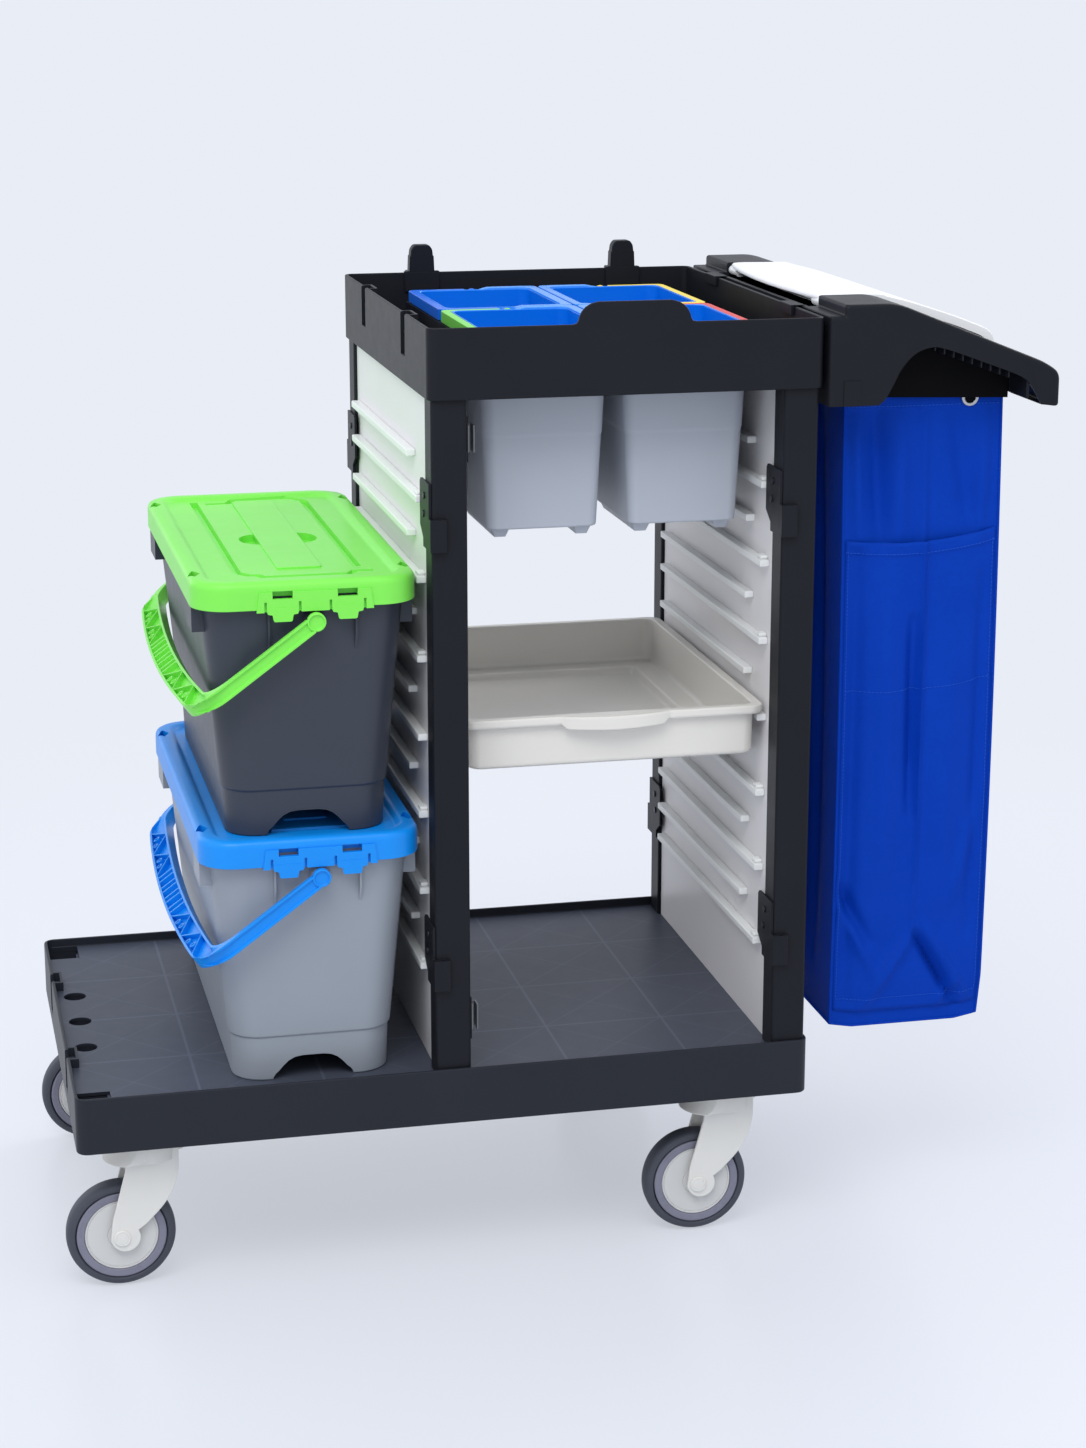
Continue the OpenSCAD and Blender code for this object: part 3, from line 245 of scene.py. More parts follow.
LINER = plastic("liner_plastic", "liner_blue", (0, 112, 222), 0.3, 0.03, 0.05)
# painted highlight: the liner's lip is a paler blue than its bowl, for the light on its rounded edges
LINER_RIM_HIGHLIGHT = plastic("liner_rim_plastic", "liner_blue", (52, 142, 240), 0.26, 0.03, 0.05)
WHITE = plastic("white_cover_plastic", "lid_white", (240, 241, 242), 0.3, 0.03, 0.015)
BAIL_COLOURS = {"green": (120, 214, 84), "red": (214, 48, 44), "blue": (16, 104, 222),
                "yellow": (240, 212, 56)}
BAIL_TINTS = {}
for corner, (tint, colour) in zip(CORNERS, BAIL_COLOURS.items()):
    BAIL_TINTS[corner] = plastic(f"bail_{tint}_plastic", "bail_" + tint, colour)
print("plastics", len(SLOTS))

# %% [markdown]
# ## Steel and rubber
#
# The small steel parts are zinc plated: grey, with a fine mottle from the bath. The tyres are a soft grey
# rubber that scatters light widely, with a faint bloom where they have been handled.


# %% Steel and rubber finishes
def zinc(name, slot, colour, rough=0.34):
    finish, wire, sockets, where = start_finish(name, slot)
    mottle = wire.noise(where, 260.0, 3.0, 0.6)
    tint = wire.blend(mottle, shade(colour, 0.86), shade(colour))
    join_finish(wire, sockets, tint, rough - 0.1 + 0.2 * mottle)
    sockets["Metallic"].default_value = 1.0
    return finish


def rubber(name, colour):
    finish, wire, sockets, where = start_finish(name, "tyre_rubber")
    bloom = wire.noise(where, 60.0, 4.0, 0.65)
    pores = wire.noise(where, 1400.0, 1.0)
    tint = wire.blend(bloom, shade(colour, 0.8), shade(colour, 1.2))
    join_finish(wire, sockets, tint, 0.5 + 0.2 * bloom, pores, 0.12)
    return finish


ZINC = zinc("zinc_steel", "zinc_steel", (196, 198, 200))
CATCH = zinc("catch_steel", "zinc_steel", (118, 120, 124))
DARK_STEEL = zinc("dark_steel", "dark_steel", (70, 72, 78), 0.45)
TYRE = rubber("tyre_rubber", (62, 66, 77))
CORE_GREY = rubber("core_rubber", (122, 122, 138))
print("finishes", len(SLOTS))

# %% [markdown]
# ## Softened edges
#
# No moulded edge is sharp, and a bright line along each edge is most of what tells plastic from paper.
# A solid of the frame is copied and its flat facets are joined. A joined face can bend round a hole, which
# the rounding would fold over, so such faces are split again into plain ones. Then every corner gets a
# small rounding. The copy stands for the solid, which stays behind it for the physics.

# %% The softening helper
SAME_POINT, FLAT_ANGLE = 0.03 * mm, math.radians(1.5)
SOLID_CORNER, MADE_CORNER = math.radians(28), math.radians(35)


def shaped(thing):
    """An object's mesh with its modifiers worked in."""
    bpy.context.view_layer.update()
    ready = thing.evaluated_get(bpy.context.evaluated_depsgraph_get())
    return bpy.data.meshes.new_from_object(ready)


def apply_modifiers(thing):
    """Turns a piece's modifiers into plain faces."""
    old = thing.data
    thing.data = shaped(thing)
    thing.modifiers.clear()
    bpy.data.meshes.remove(old)


def as_mesh(bm, name="part"):
    """A bmesh turned into a mesh, and freed."""
    mesh = bpy.data.meshes.new(name)
    bm.to_mesh(mesh)
    bm.free()
    return mesh


def new_piece(name, bm, finish, body):
    """A smooth piece from a bmesh, with its finish, riding on one of the cart's bodies."""
    mesh = as_mesh(bm, name)
    mesh.materials.append(finish)
    mesh.polygons.foreach_set("use_smooth", [True] * len(mesh.polygons))
    thing = add_object(name, mesh)
    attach(thing, body)
    SLOTS[finish.name.split(".")[0]]
    return thing


def complete(thing, node, edge, corner_angle, mitre, keep_sharp):
    """Rounds a piece's corners, evens its shading and lets it stand for a solid."""
    if edge:
        rounding = thing.modifiers.new("rounding", "BEVEL")
        rounding.width = edge * mm
        rounding.segments = 2
        rounding.limit_method = "ANGLE"
        rounding.angle_limit = corner_angle
        rounding.use_clamp_overlap = False
        rounding.miter_outer = mitre
    even = thing.modifiers.new("even", "WEIGHTED_NORMAL")
    even.keep_sharp = keep_sharp
    apply_modifiers(thing)
    if node:
        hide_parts(node)
    print(thing.name, len(thing.data.polygons), "faces")
    return thing


def soften(node, finish, edge):
    """A copy of a solid with rounded edges, which stands for it."""
    bm = bmesh.new()
    bm.from_mesh(frame["nodes"][node].data)
    bmesh.ops.remove_doubles(bm, verts=bm.verts, dist=SAME_POINT)
    bmesh.ops.dissolve_limit(bm, angle_limit=FLAT_ANGLE, verts=bm.verts, edges=bm.edges)
    bmesh.ops.connect_verts_concave(bm, faces=bm.faces)
    thing = new_piece(node + "_soft", bm, finish, body_of_node[node])
    return complete(thing, node, edge, SOLID_CORNER, "MITER_ARC", False)


print("softening ready")

# %% [markdown]
# ## Shapes in millimetres
#
# The moulded pieces are rounded boxes, bowls and plates, so a handful of shapes make them all. They are
# drawn in millimetres from the front left corner of the base, with X to the right, Y to the back and Z up
# from the floor, and each finished piece is scaled to metres and moved to its place in the frame. A tub is
# a loft: one rounded outline after another, following a profile from its underside over its rim to the
# inside of its floor. The profile's corners are rounded first, so the loft has no sharp edge.

# %% Outlines and lofts
CART = Vector((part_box("base_tray")[0].x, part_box("base_tray")[0].y, 0))
FACES = {"x": (2, 0, 1), "y": (0, 2, 1), "z": (0, 1, 2)}
CURVE_STEPS = 5


def fillet(points, closed=False, steps=4):
    """Rounds the corners of a line of (a, b, radius) points."""
    done = []
    for k, (a, b, radius) in enumerate(points):
        here = Vector((a, b))
        if radius == 0 or (not closed and k in (0, len(points) - 1)):
            done.append((a, b))
            continue
        before = Vector(points[k - 1][:2]) - here
        after = Vector(points[(k + 1) % len(points)][:2]) - here
        reach = min(radius, before.length * 0.49, after.length * 0.49)
        start = here + before.normalized() * reach
        end = here + after.normalized() * reach
        for s in range(steps + 1):
            spot = start.lerp(here, s / steps).lerp(here.lerp(end, s / steps), s / steps)
            done.append((spot.x, spot.y))
    return done


def doubled(half):
    """A whole outline from its left or right half."""
    return half + [(-x, *rest) for x, *rest in reversed(half)]


def smooth_line(points):
    """A curve through points, by their neighbours' slopes."""
    ends = [Vector(p) for p in points[:1] + points + points[-1:]]
    done = []
    for a, b, c, d in zip(ends, ends[1:], ends[2:], ends[3:]):
        for t in [s / CURVE_STEPS for s in range(CURVE_STEPS)]:
            bend = (2 * a - 5 * b + 4 * c - d) * (t * t / 2) + (3 * b - a - 3 * c + d) * (t ** 3 / 2)
            done.append(tuple(b + (c - a) * (t / 2) + bend))
    return done + points[-1:]


def outline(w, l, r, steps=7):
    """A rounded rectangle about the origin."""
    points = []
    for sx, sy, start in ((1, 1, 0), (-1, 1, 90), (-1, -1, 180), (1, -1, 270)):
        for s in range(steps + 1):
            a = math.radians(start + 90 * s / steps)
            points.append((sx * (w / 2 - r) + r * math.cos(a), sy * (l / 2 - r) + r * math.sin(a)))
    return points


def loft(rings, joined=False):
    """Faces from ring to ring, closed by a cap at each end, or joined into a loop."""
    bm = bmesh.new()
    rows = [[bm.verts.new(p) for p in ring] for ring in rings]
    for low, high in zip(rows, rows[1:] + rows[:1] if joined else rows[1:]):
        for k in range(len(low)):
            j = (k + 1) % len(low)
            bm.faces.new((low[k], low[j], high[j], high[k]))
    if not joined:
        bm.faces.new(rows[0][::-1])
        bm.faces.new(rows[-1])
    bmesh.ops.recalc_face_normals(bm, faces=bm.faces)
    return bm


def tub(w, l, r, profile, shrink=1.0, steps=7):
    """A bowl or box from a profile of (inset, height, rounding)."""
    rings = []
    for inset, z in fillet(profile):
        flat = outline(w - 2 * inset, l - 2 * inset, max(r - shrink * inset, 0.8), steps)
        rings.append([(x, y, z) for x, y in flat])
    return loft(rings)


def prism(points, low, high, axis="z"):
    """A flat shape with a thickness, seen along one axis."""
    order = FACES[axis]
    return loft([[tuple((a, b, c)[k] for k in order) for a, b in points] for c in (low, high)])


def block(x0, x1, y0, y1, z0, z1):
    return prism([(x0, y0), (x1, y0), (x1, y1), (x0, y1)], z0, z1)


def turned(profile, axis="z", steps=56, joined=False):
    """A round piece from (radius, height) points, turned about one axis."""
    order = FACES[axis]
    rings = []
    for r, c in profile:
        turns = [2 * math.pi * s / steps for s in range(steps)]
        rings.append([tuple((r * math.cos(t), r * math.sin(t), c)[k] for k in order) for t in turns])
    return loft(rings, joined)


print("front left corner of the base", [round(c, 4) for c in CART])

# %% [markdown]
# Shapes are moved, mirrored, put together and cut. A cut is Blender's exact Boolean on two objects that are
# gone again afterwards. The last helper turns a shape into a piece of the cart.


# %% Moving, joining and cutting
def shift(bm, x=0.0, y=0.0, z=0.0):
    bmesh.ops.translate(bm, verts=bm.verts, vec=(x, y, z))
    return bm


def mirrored(bm, axis):
    bmesh.ops.scale(bm, verts=bm.verts, vec=[-1 if a == axis else 1 for a in "xyz"])
    bmesh.ops.reverse_faces(bm, faces=bm.faces)
    return bm


def copies(bm, *axes):
    """A shape and its mirror images across the middle of each axis."""
    shapes = [bm]
    for axis in axes:
        shapes += [mirrored(shape.copy(), axis) for shape in shapes]
    return shapes


def merge(*parts):
    """Several shapes in one mesh."""
    whole = parts[0]
    for part in parts[1:]:
        mesh = as_mesh(part)
        whole.from_mesh(mesh)
        bpy.data.meshes.remove(mesh)
    return whole


def carve(body, *cutters, operation="DIFFERENCE"):
    """Cuts the cutters out of a shape, or joins them to it."""
    things = [add_object("carving", as_mesh(bm)) for bm in (body, merge(*cutters))]
    cut = things[0].modifiers.new("cut", "BOOLEAN")
    cut.operation = operation
    cut.solver = "EXACT"
    cut.use_self = True
    cut.object = things[1]
    meshes = [shaped(things[0])] + [thing.data for thing in things]
    done = bmesh.new()
    done.from_mesh(meshes[0])
    for thing in things:
        bpy.data.objects.remove(thing)
    for mesh in meshes:
        bpy.data.meshes.remove(mesh)
    return done


def make(name, bm, finish, body="cart_frame", at=(0, 0, 0), node=None, edge=0.0, smooth=35):
    """A finished piece at its place on the cart, standing for its solid."""
    bmesh.ops.scale(bm, verts=bm.verts, vec=(mm, mm, mm))
    bmesh.ops.translate(bm, verts=bm.verts, vec=CART + Vector(at) * mm)
    thing = new_piece(name, bm, finish, body)
    thing.data.set_sharp_from_angle(angle=math.radians(smooth))
    return complete(thing, node, edge, MADE_CORNER, "MITER_SHARP", True)


print("shapes ready")

# %% [markdown]
# ## The base
#
# The base is one shallow moulding with a low rim. At the bucket end it has a square hole in each corner,
# three round holes for handles and two hook pockets with a slot through the wall. The ribs below the deck
# leave faint sunken lines on its upper face, along them and across each field, and the finish paints them
# paler as painted highlights. The deck's upward faces are painted paler than the walls, as painted light
# from above. Short sleeves hang below the holes.

# %% Deck finish and hook pockets
BASE_L, BASE_D, BASE_LOW, DECK_UNDER, DECK, RIM_TOP = 850, 560, 183, 233, 238, 249
FIELDS_ALONG, FIELDS_ACROSS = 6, 4
# painted light: the deck's lit tone and the painted highlight of its sunken lines
LINE_WIDTH, DECK_TOP_LIGHT, SINK_LINE_HIGHLIGHT = 0.011, 0.58, 0.4
HOOKS = (148.4, 411.6)


def lit_deck_and_sink_highlights(wire, where):
    """Painted light on the deck's upward faces: a paler tone for light from above, and paler lines as painted
    highlights on the sunken lines over the ribs below it and across each field.
    """
    x, y, z = wire.split(where)
    facing = wire.node("NewGeometry", out="Normal")
    # painted light: upward faces at deck height come out paler, as if lit from above
    level = (wire.split(facing)[2] > 0.9) * (z < (DECK + 2) * mm)
    across = (x - CART.x) * (FIELDS_ALONG / BASE_L / mm)
    along = (y - CART.y) * (FIELDS_ACROSS / BASE_D / mm)
    lines = 0
    for place, strength in ((across, 1.0), (along, 1.0), (across + along, 0.5), (across - along, 0.5)):
        gap = wire.sum("ABSOLUTE", wire.sum("FRACT", place + 0.5) - 0.5)
        lines = (gap < LINE_WIDTH) * strength + lines
    return level * (DECK_TOP_LIGHT + SINK_LINE_HIGHLIGHT * wire.sum("MINIMUM", lines, 1))


def hook_pocket(x, y, low, high):
    """A pocket behind the end wall for an accessory's hook."""
    hollow = block(x - 2, x + 11, y - 17, y + 17, low + 4, high + 9)
    return carve(block(x + 3.5, x + 14, y - 20, y + 20, low, high), hollow)


def hook_slot(x, y, top):
    """What is cut from the end wall in front of a pocket."""
    return block(x - 2, x + 5.5, y - 13, y + 13, top - 47, top + 11)


# the deck finish paints light: its upward faces and their sunken lines are brightened by pale=4.9
DECK_BLACK = plastic("anthracite_plastic_deck", "black_plastic", (37, 40, 48), 0.42, 0.08, 0.1, 0.16,
                     lit_marks=lit_deck_and_sink_highlights, pale=4.9)
print("deck finish", DECK_BLACK.name)

# %% [markdown]
# The moulding itself is a tub with its deck near the top. Its holes are cut first, and then the pockets,
# sleeves, ribs and the pads over the casters are set in. The middle rib stops short of the handle holes.

# %% Base
WALL, HOLE, SLEEVE_WALL = 4, 44, 2.5
RIB_LOW, SLEEVE_LOW, SLEEVE_TOP = 211, 203, 234
HANDLE_X, HANDLE_GAP, HANDLE_R, MIDDLE_RIB_X = 26, 88, 13, 142
PAD_X, PAD_Y = 85, 60

base = tub(BASE_L, BASE_D, 14, [
    (9, DECK_UNDER, 0), (WALL, DECK_UNDER, 3), (WALL, BASE_LOW, 1.5), (0, BASE_LOW, 2.5), (0, RIM_TOP, 1.8),
    (WALL, RIM_TOP, 1.2), (WALL + 0.4, DECK, 3), (9, DECK, 0)], shrink=1.6)
holes, below = [], []
for y, wall in ((5, 5 + HOLE), (BASE_D - 5 - HOLE, BASE_D - 5 - HOLE - SLEEVE_WALL)):
    holes.append(block(5, 42, y, y + HOLE, 220, 260))
    below.append(block(42, 42 + SLEEVE_WALL, y - 1, y + HOLE + 1, SLEEVE_LOW, SLEEVE_TOP))
    below.append(block(4.5, 43, wall, wall + SLEEVE_WALL, SLEEVE_LOW, SLEEVE_TOP))
for y in (BASE_D / 2 - HANDLE_GAP, BASE_D / 2, BASE_D / 2 + HANDLE_GAP):
    hole = turned([(HANDLE_R, 225), (HANDLE_R, 236.5), (HANDLE_R + 1.2, 240)], steps=40)
    holes.append(shift(hole, HANDLE_X, y))
    ring = [(HANDLE_R, 206), (HANDLE_R + 2, 206), (HANDLE_R + 2, 234), (HANDLE_R, 234)]
    below.append(shift(turned(ring, steps=40, joined=True), HANDLE_X, y))
for y in HOOKS:
    holes.append(hook_slot(0, y, RIM_TOP))
    below.append(hook_pocket(0, y, RIM_TOP - 51, RIM_TOP))
for k in range(1, FIELDS_ACROSS):
    start = MIDDLE_RIB_X if k == 2 else WALL
    y = k * BASE_D / FIELDS_ACROSS
    below.append(block(start, BASE_L - WALL, y - 2, y + 2, RIB_LOW, DECK_UNDER + 0.5))
for k in range(1, FIELDS_ALONG):
    x = k * BASE_L / FIELDS_ALONG
    below.append(block(x - 2, x + 2, WALL, BASE_D - WALL, RIB_LOW, DECK_UNDER + 0.5))
for x in (PAD_X, BASE_L - PAD_X):
    for y in (PAD_Y, BASE_D - PAD_Y):
        below.append(shift(tub(92, 80, 6, [(0, 197, 0), (0, 234, 0)]), x, y))
base = carve(shift(base, BASE_L / 2, BASE_D / 2), *holes)
make("base_moulding", merge(base, *below), DECK_BLACK, node="base_tray")

# %% [markdown]
# ## The top tray
#
# The tray is a second moulding with higher walls. Its front wall rises into a rounded grip, its left wall
# has the same hook pockets as the base, and collars round four openings in its floor carry the small bins.
# Two clips for tool handles sit on its back wall, each a jaw behind a rounded head.

# %% Tray and clips
TRAY_X, TRAY_L, TRAY_LOW, TRAY_FLOOR, TRAY_TOP = 405, 445, 1013, 1027, 1091
BIN_AT = dict(zip(CORNERS, ((552, 176), (715, 176), (552, 384), (715, 384))))
HUMP_X, HUMP_L, HUMP_H = 633.5, 126, 24
HUMP_END = [(-6, -20), (-6, 0), (-2, 1), (0, 4), (1, 8), (3.5, 13.5), (8, 18.5), (14, 22), (22, HUMP_H)]
HUMP_CUTS = ((-0.15, 1.3), (0.35, 0.4), (1.25, 0), (2.75, 0), (3.65, 0.4), (4.15, 1.3))
CLIPS = (502.9, 761)
OPEN_X, OPEN_Y, OPEN_LOW, OPEN_HIGH, COLLAR_TOP = 76, 98.5, 1000, 1080, 1063


def hump_ring(y, inset):
    """The grip's outline, a little smaller at its front and back faces."""
    flat = doubled([(x - HUMP_L / 2, z) for x, z in HUMP_END])
    narrow = 1 - inset / (HUMP_L / 2 + 6)
    return [(HUMP_X + x * narrow, y, TRAY_TOP + z - inset * max(z, 0) / HUMP_H) for x, z in flat]


def clip_body():
    """A clip seen from the front: a tapered block with a rounded head, on a saddle over the wall."""
    half = [(-16, 0, 0), (-15.2, 20, 0.5), (-14.2, 20.8, 0.5), (-13.4, 28, 2), (-9.5, 34, 3)]
    head = prism(fillet(doubled(half), closed=True), -8, 8, "y")
    hold = shift(turned([(11, -30), (11, 9)], steps=40), 0, 17)
    jaw = carve(block(-16, 16, 0, 26, -24, 0.2), hold, block(-9, 9, 17, 30, -30, 9))
    return merge(head, jaw, block(-22, 22, -8, -4, -24, 1.2), block(-22, 22, -8, 0.8, 0, 1.6))


def bin_openings():
    """What is cut from the tray and from its collars for the bins."""
    cutters = []
    for x, y in BIN_AT.values():
        cutters.append(block(x - OPEN_X, x + OPEN_X, y - OPEN_Y, y + OPEN_Y, OPEN_LOW, OPEN_HIGH))
    return cutters


tray = tub(TRAY_L, BASE_D, 12, [
    (14, TRAY_FLOOR - 4, 0), (WALL, TRAY_FLOOR - 4, 1), (WALL, TRAY_LOW, 1.2), (0, TRAY_LOW, 2),
    (0, TRAY_TOP, 2), (WALL, TRAY_TOP, 1.5), (WALL + 0.4, TRAY_FLOOR, 4), (14, TRAY_FLOOR, 0)], shrink=1.2)
slots = [hook_slot(TRAY_X, y, TRAY_TOP) for y in HOOKS]
tray = carve(shift(tray, TRAY_X + TRAY_L / 2, BASE_D / 2), *bin_openings(), *slots)
collars = carve(block(470.5, 796.5, 72, 488, TRAY_FLOOR - 2, COLLAR_TOP), *bin_openings())
hump = loft([hump_ring(y, inset) for y, inset in HUMP_CUTS])
pockets = [hook_pocket(TRAY_X, y, TRAY_TOP - 24, TRAY_TOP) for y in HOOKS]
make("tray_moulding", merge(tray, collars, hump, *pockets), BLACK, node="top_tray")
clips = [shift(clip_body(), x, BASE_D, TRAY_TOP) for x in CLIPS]
make("tool_clip_pair", merge(*clips), BLACK, node="tool_clips", edge=1.2)

# %% [markdown]
# ## Mop buckets
#
# Two equal buckets stand on each other. Each is a tapered tub with a set-in foot, and the foot has an arch
# at both ends for the fingers that tip it. Under the rim are thin fins, open lugs and a boss for the bail's
# pin. The tub is a loft, the arches are cut from it, and the small parts are joined on.

# %% Bucket bodies
BUCKET_AT = {"lower": (272.5, 280, DECK), "upper": (272.5, 280, DECK + 290)}
RIM_W, RIM_L, LID_Z, FOOT_H, BUCKET_TOP, TAPER = 224, 521, 264, 53, 285.5, 18
PIVOT_X, PIVOT_Z, BAIL_HALF = 8, 250, 282
FIN_DROP, FIN_HALF = 50, 1.2
ARCH = [(46, -3), (46, 3), (43.5, 7), (39, 11), (34, 17), (28, 22.5), (21, 26.2), (12, 27.6)]


def bucket_body():
    body = tub(RIM_W, RIM_L, 40, [
        (30, 28, 0), (27, 28, 2), (27, 0, 1.5), (22.4, 0, 3.5), (20.4, FOOT_H - 1, 1),
        (TAPER + 0.2, FOOT_H + 1, 2.5), (0, LID_Z, 2), (0, BUCKET_TOP, 1), (3, BUCKET_TOP, 1), (3, LID_Z, 2),
        (22, 34, 8), (32, 32, 0)], shrink=0.2, steps=9)
    body = carve(body, prism(doubled(ARCH), -270, 270, "y"))
    rim = RIM_L / 2
    face = rim - TAPER * FIN_DROP / (LID_Z - FOOT_H) - 1
    fin = [(face, 214), (face + 1.5, 214), (rim + 4, 232), (rim + 4, 268), (face, 268)]
    boss = turned([(13, rim - 6), (11, rim + 2), (8.5, rim + 9), (8.5, BAIL_HALF - 9)], "y", 32)
    pin = turned([(5, rim - 6), (5, BAIL_HALF - 4), (4, BAIL_HALF - 3)], "y", 32)
    lug = carve(block(RIM_W / 2 - 18, 122, 172, 229, 234, LID_Z + 1),
                block(RIM_W / 2 - 8, 119.5, 176, 226.5, 230, LID_Z - 2.5))
    extras = copies(shift(merge(boss, pin), PIVOT_X, 0, PIVOT_Z), "y") + copies(lug, "y", "x")
    for x in (PIVOT_X - 50, PIVOT_X + 46):
        extras += copies(prism(fin, x - FIN_HALF, x + FIN_HALF, "x"), "y")
    return merge(body, *extras)


for level, finish in (("lower", LOWER_GREY), ("upper", UPPER_DARK)):
    make(level + "_bucket_tub", bucket_body(), finish, level + "_bucket", BUCKET_AT[level], level + "_bucket")

# %% [markdown]
# ## Bucket lids
#
# A lid has a raised rounded border, so that the next bucket can't slide off. Inside it two bent grooves
# frame a panel, a raised strip runs along the middle and two half-moon finger wells lie beside it. At
# each end an apron carries two snap tabs with a window above each. The grooves, wells, slots and windows
# are cut from the loft.

# %% Grooves and wells
LID_W, LID_L, LID_TOP, LID_PLANE, ABOVE_LID = 248, 545, 31, 26, 40
GROOVE_LEFT = [(-67, 238), (-67, -192), (-56, -209), (-47, -210), (-41, -221), (55, -221), (62, -209),
               (82, -209)]
GROOVE_RIGHT = [(68, -186), (68, 224), (56, 241), (47, 246), (-18, 244), (-25, 226), (-54, 224)]
GROOVE_WALLS = ((7.4, LID_PLANE - 6), (10, LID_PLANE + 0.2), (10, ABOVE_LID))
STRIP_X, STRIP_HALF, WELL_R, WELL_FLOOR = 4, 25, 31, 18


def stripe(points, width):
    """A band of even width along a bent line, seen from above."""
    spots = [Vector(p) for p in points]
    steps = [b - a for a, b in zip(spots, spots[1:])]
    sides = ([], [])
    for here, behind, ahead in zip(spots, steps[:1] + steps, steps + steps[-1:]):
        across = [Vector((-d.y, d.x)).normalized() for d in (behind, ahead)]
        mitre = (across[0] + across[1]).normalized()
        reach = width / 2 / max(mitre.dot(across[0]), 0.5)
        sides[0].append(tuple(here + mitre * reach))
        sides[1].append(tuple(here - mitre * reach))
    return sides[0] + sides[1][::-1]


def groove_cutter(points):
    """A groove with slanted walls along a bent line."""
    return loft([[(x, y, z) for x, y in stripe(points, wide)] for wide, z in GROOVE_WALLS])


def half_moon():
    """A half disc beside the middle strip."""
    turns = [math.pi * s / 14 for s in range(15)]
    flat = [(STRIP_HALF - 2 + 0.72 * WELL_R * math.sin(a), -WELL_R * math.cos(a) - 10) for a in turns]
    return prism(flat, WELL_FLOOR, ABOVE_LID)


print("grooves", len(GROOVE_LEFT) + len(GROOVE_RIGHT), "points")

# %% [markdown]
# The tabs and the apron are drawn at the front end and mirrored to the back. Each tab stands between two
# slits, and a diamond-shaped hole pierces the border beside each corner.

# %% Lids
APRON = [(-64, -2.5), (64, -2.5), (61, 20), (-61, 20)]
TAB = [(-17.2, 3, 0), (-16.6, -4.5, 1), (-11.4, -5.5, 1), (-10, -13, 2)]
DIAMOND = [(0, -15), (7, 0), (0, 15), (-7, 0)]
TAB_GAP, SLIT_X, SLIT_HALF, WINDOW_HALF, BEYOND_LID = 35.5, 18.8, 1.4, 11, -280


def lid_body():
    lid = tub(LID_W, LID_L, 42, [
        (26, 15, 0), (18, 15, 1.5), (17, 22, 0.5), (11.5, 22, 1), (11.5, 13, 1), (3, 13, 1), (3, 0, 0.8),
        (0, 0, 0.8), (0, LID_TOP, 12), (18, LID_TOP, 5), (23.5, LID_PLANE, 4), (27, LID_PLANE, 0)],
        shrink=0.7, steps=12)
    apron = shift(prism(APRON, -274.2, -269, "y"), PIVOT_X)
    lid = carve(lid, *copies(apron, "y"), operation="UNION")
    cutters = [groove_cutter(GROOVE_LEFT), groove_cutter(GROOVE_RIGHT)]
    cutters += [shift(well, STRIP_X) for well in copies(half_moon(), "x")]
    tabs = []
    for k in (-1, 1):
        x = PIVOT_X + TAB_GAP * k
        tabs += copies(shift(prism(fillet(doubled(TAB), True), -274.6, -270.5, "y"), x), "y")
        cutters += copies(block(x - WINDOW_HALF, x + WINDOW_HALF, BEYOND_LID, -262, 12, 20.5), "y")
        for slit in (x - SLIT_X, x + SLIT_X):
            cutters += copies(block(slit - SLIT_HALF, slit + SLIT_HALF, BEYOND_LID, -269.5, -4, 9), "y")
        cutters += copies(shift(prism(DIAMOND, 6, ABOVE_LID), k * 116, 210), "y")
    low, high = LID_PLANE - 1, LID_PLANE + 2
    strip = tub(2 * STRIP_HALF, 408, 3, [(0, low, 0), (0, high, 0.8), (3, high, 0)])
    return merge(carve(lid, *cutters), shift(strip, STRIP_X, 20), *tabs)


for level, finish in (("lower", BLUE), ("upper", GREEN)):
    x, y, z = BUCKET_AT[level]
    lid = level + "_lid"
    make(lid + "_shell", lid_body(), finish, lid, (x, y, z + LID_Z), lid, smooth=30)

# %% [markdown]
# ## Bucket bails
#
# A bail is a bent beam made as a lattice: two flanges with a thin web between them and slanting ribs
# across it, so that it is light and stiff. Its arms are channels and end in a round boss at the pivot. The
# beam is a loft along its own line: the cross-section turns from a channel into the lattice's two flanges
# and web at the corners. The ribs are set in between, and the whole is tilted to where it hangs.

# %% A bail's line and its cross-sections
REACH, BAND, BOW, ARM_T, BAIL_REST = 144.5, 27, 11, 6.6, 36
OUTER_R, INNER_R, CORNER_STEPS, GRIP_STEPS = 46, 30, 8, 24
HALF_DEPTH, WEB, FLANGE_T = 8.5, 1.2, 3.2
FLANGE = FLANGE_T / BAND
FLANGE_CUT = [(0, HALF_DEPTH), (FLANGE, HALF_DEPTH), (FLANGE, WEB)]
GRIP_HALF = FLANGE_CUT + [(1 - s, z) for s, z in reversed(FLANGE_CUT)]
ARM_HALF = [(0, HALF_DEPTH), (0.3, HALF_DEPTH), (0.6, HALF_DEPTH), (1, HALF_DEPTH), (1, HALF_DEPTH - 2.6),
            (0.55, HALF_DEPTH - 3.6)]


def bow_at(y, half, r):
    """How far the grip bows out at y."""
    return BOW * (1 - (y / (half - r)) ** 2)


def bail_line(half, s, r):
    """One edge of the bail: an arm, a rounded corner, the bowed grip and the other arm."""
    arm = [(0, -half)]
    for k in range(CORNER_STEPS + 1):
        turn_by = math.radians(90 * k / CORNER_STEPS)
        arm.append((-s + r - r * math.sin(turn_by), -half + r - r * math.cos(turn_by)))
    grip = []
    for k in range(1, GRIP_STEPS):
        y = -half + r + k * (2 * half - 2 * r) / GRIP_STEPS
        grip.append((-s - bow_at(y, half, r), y))
    return arm + grip + [(x, -y) for x, y in reversed(arm)]


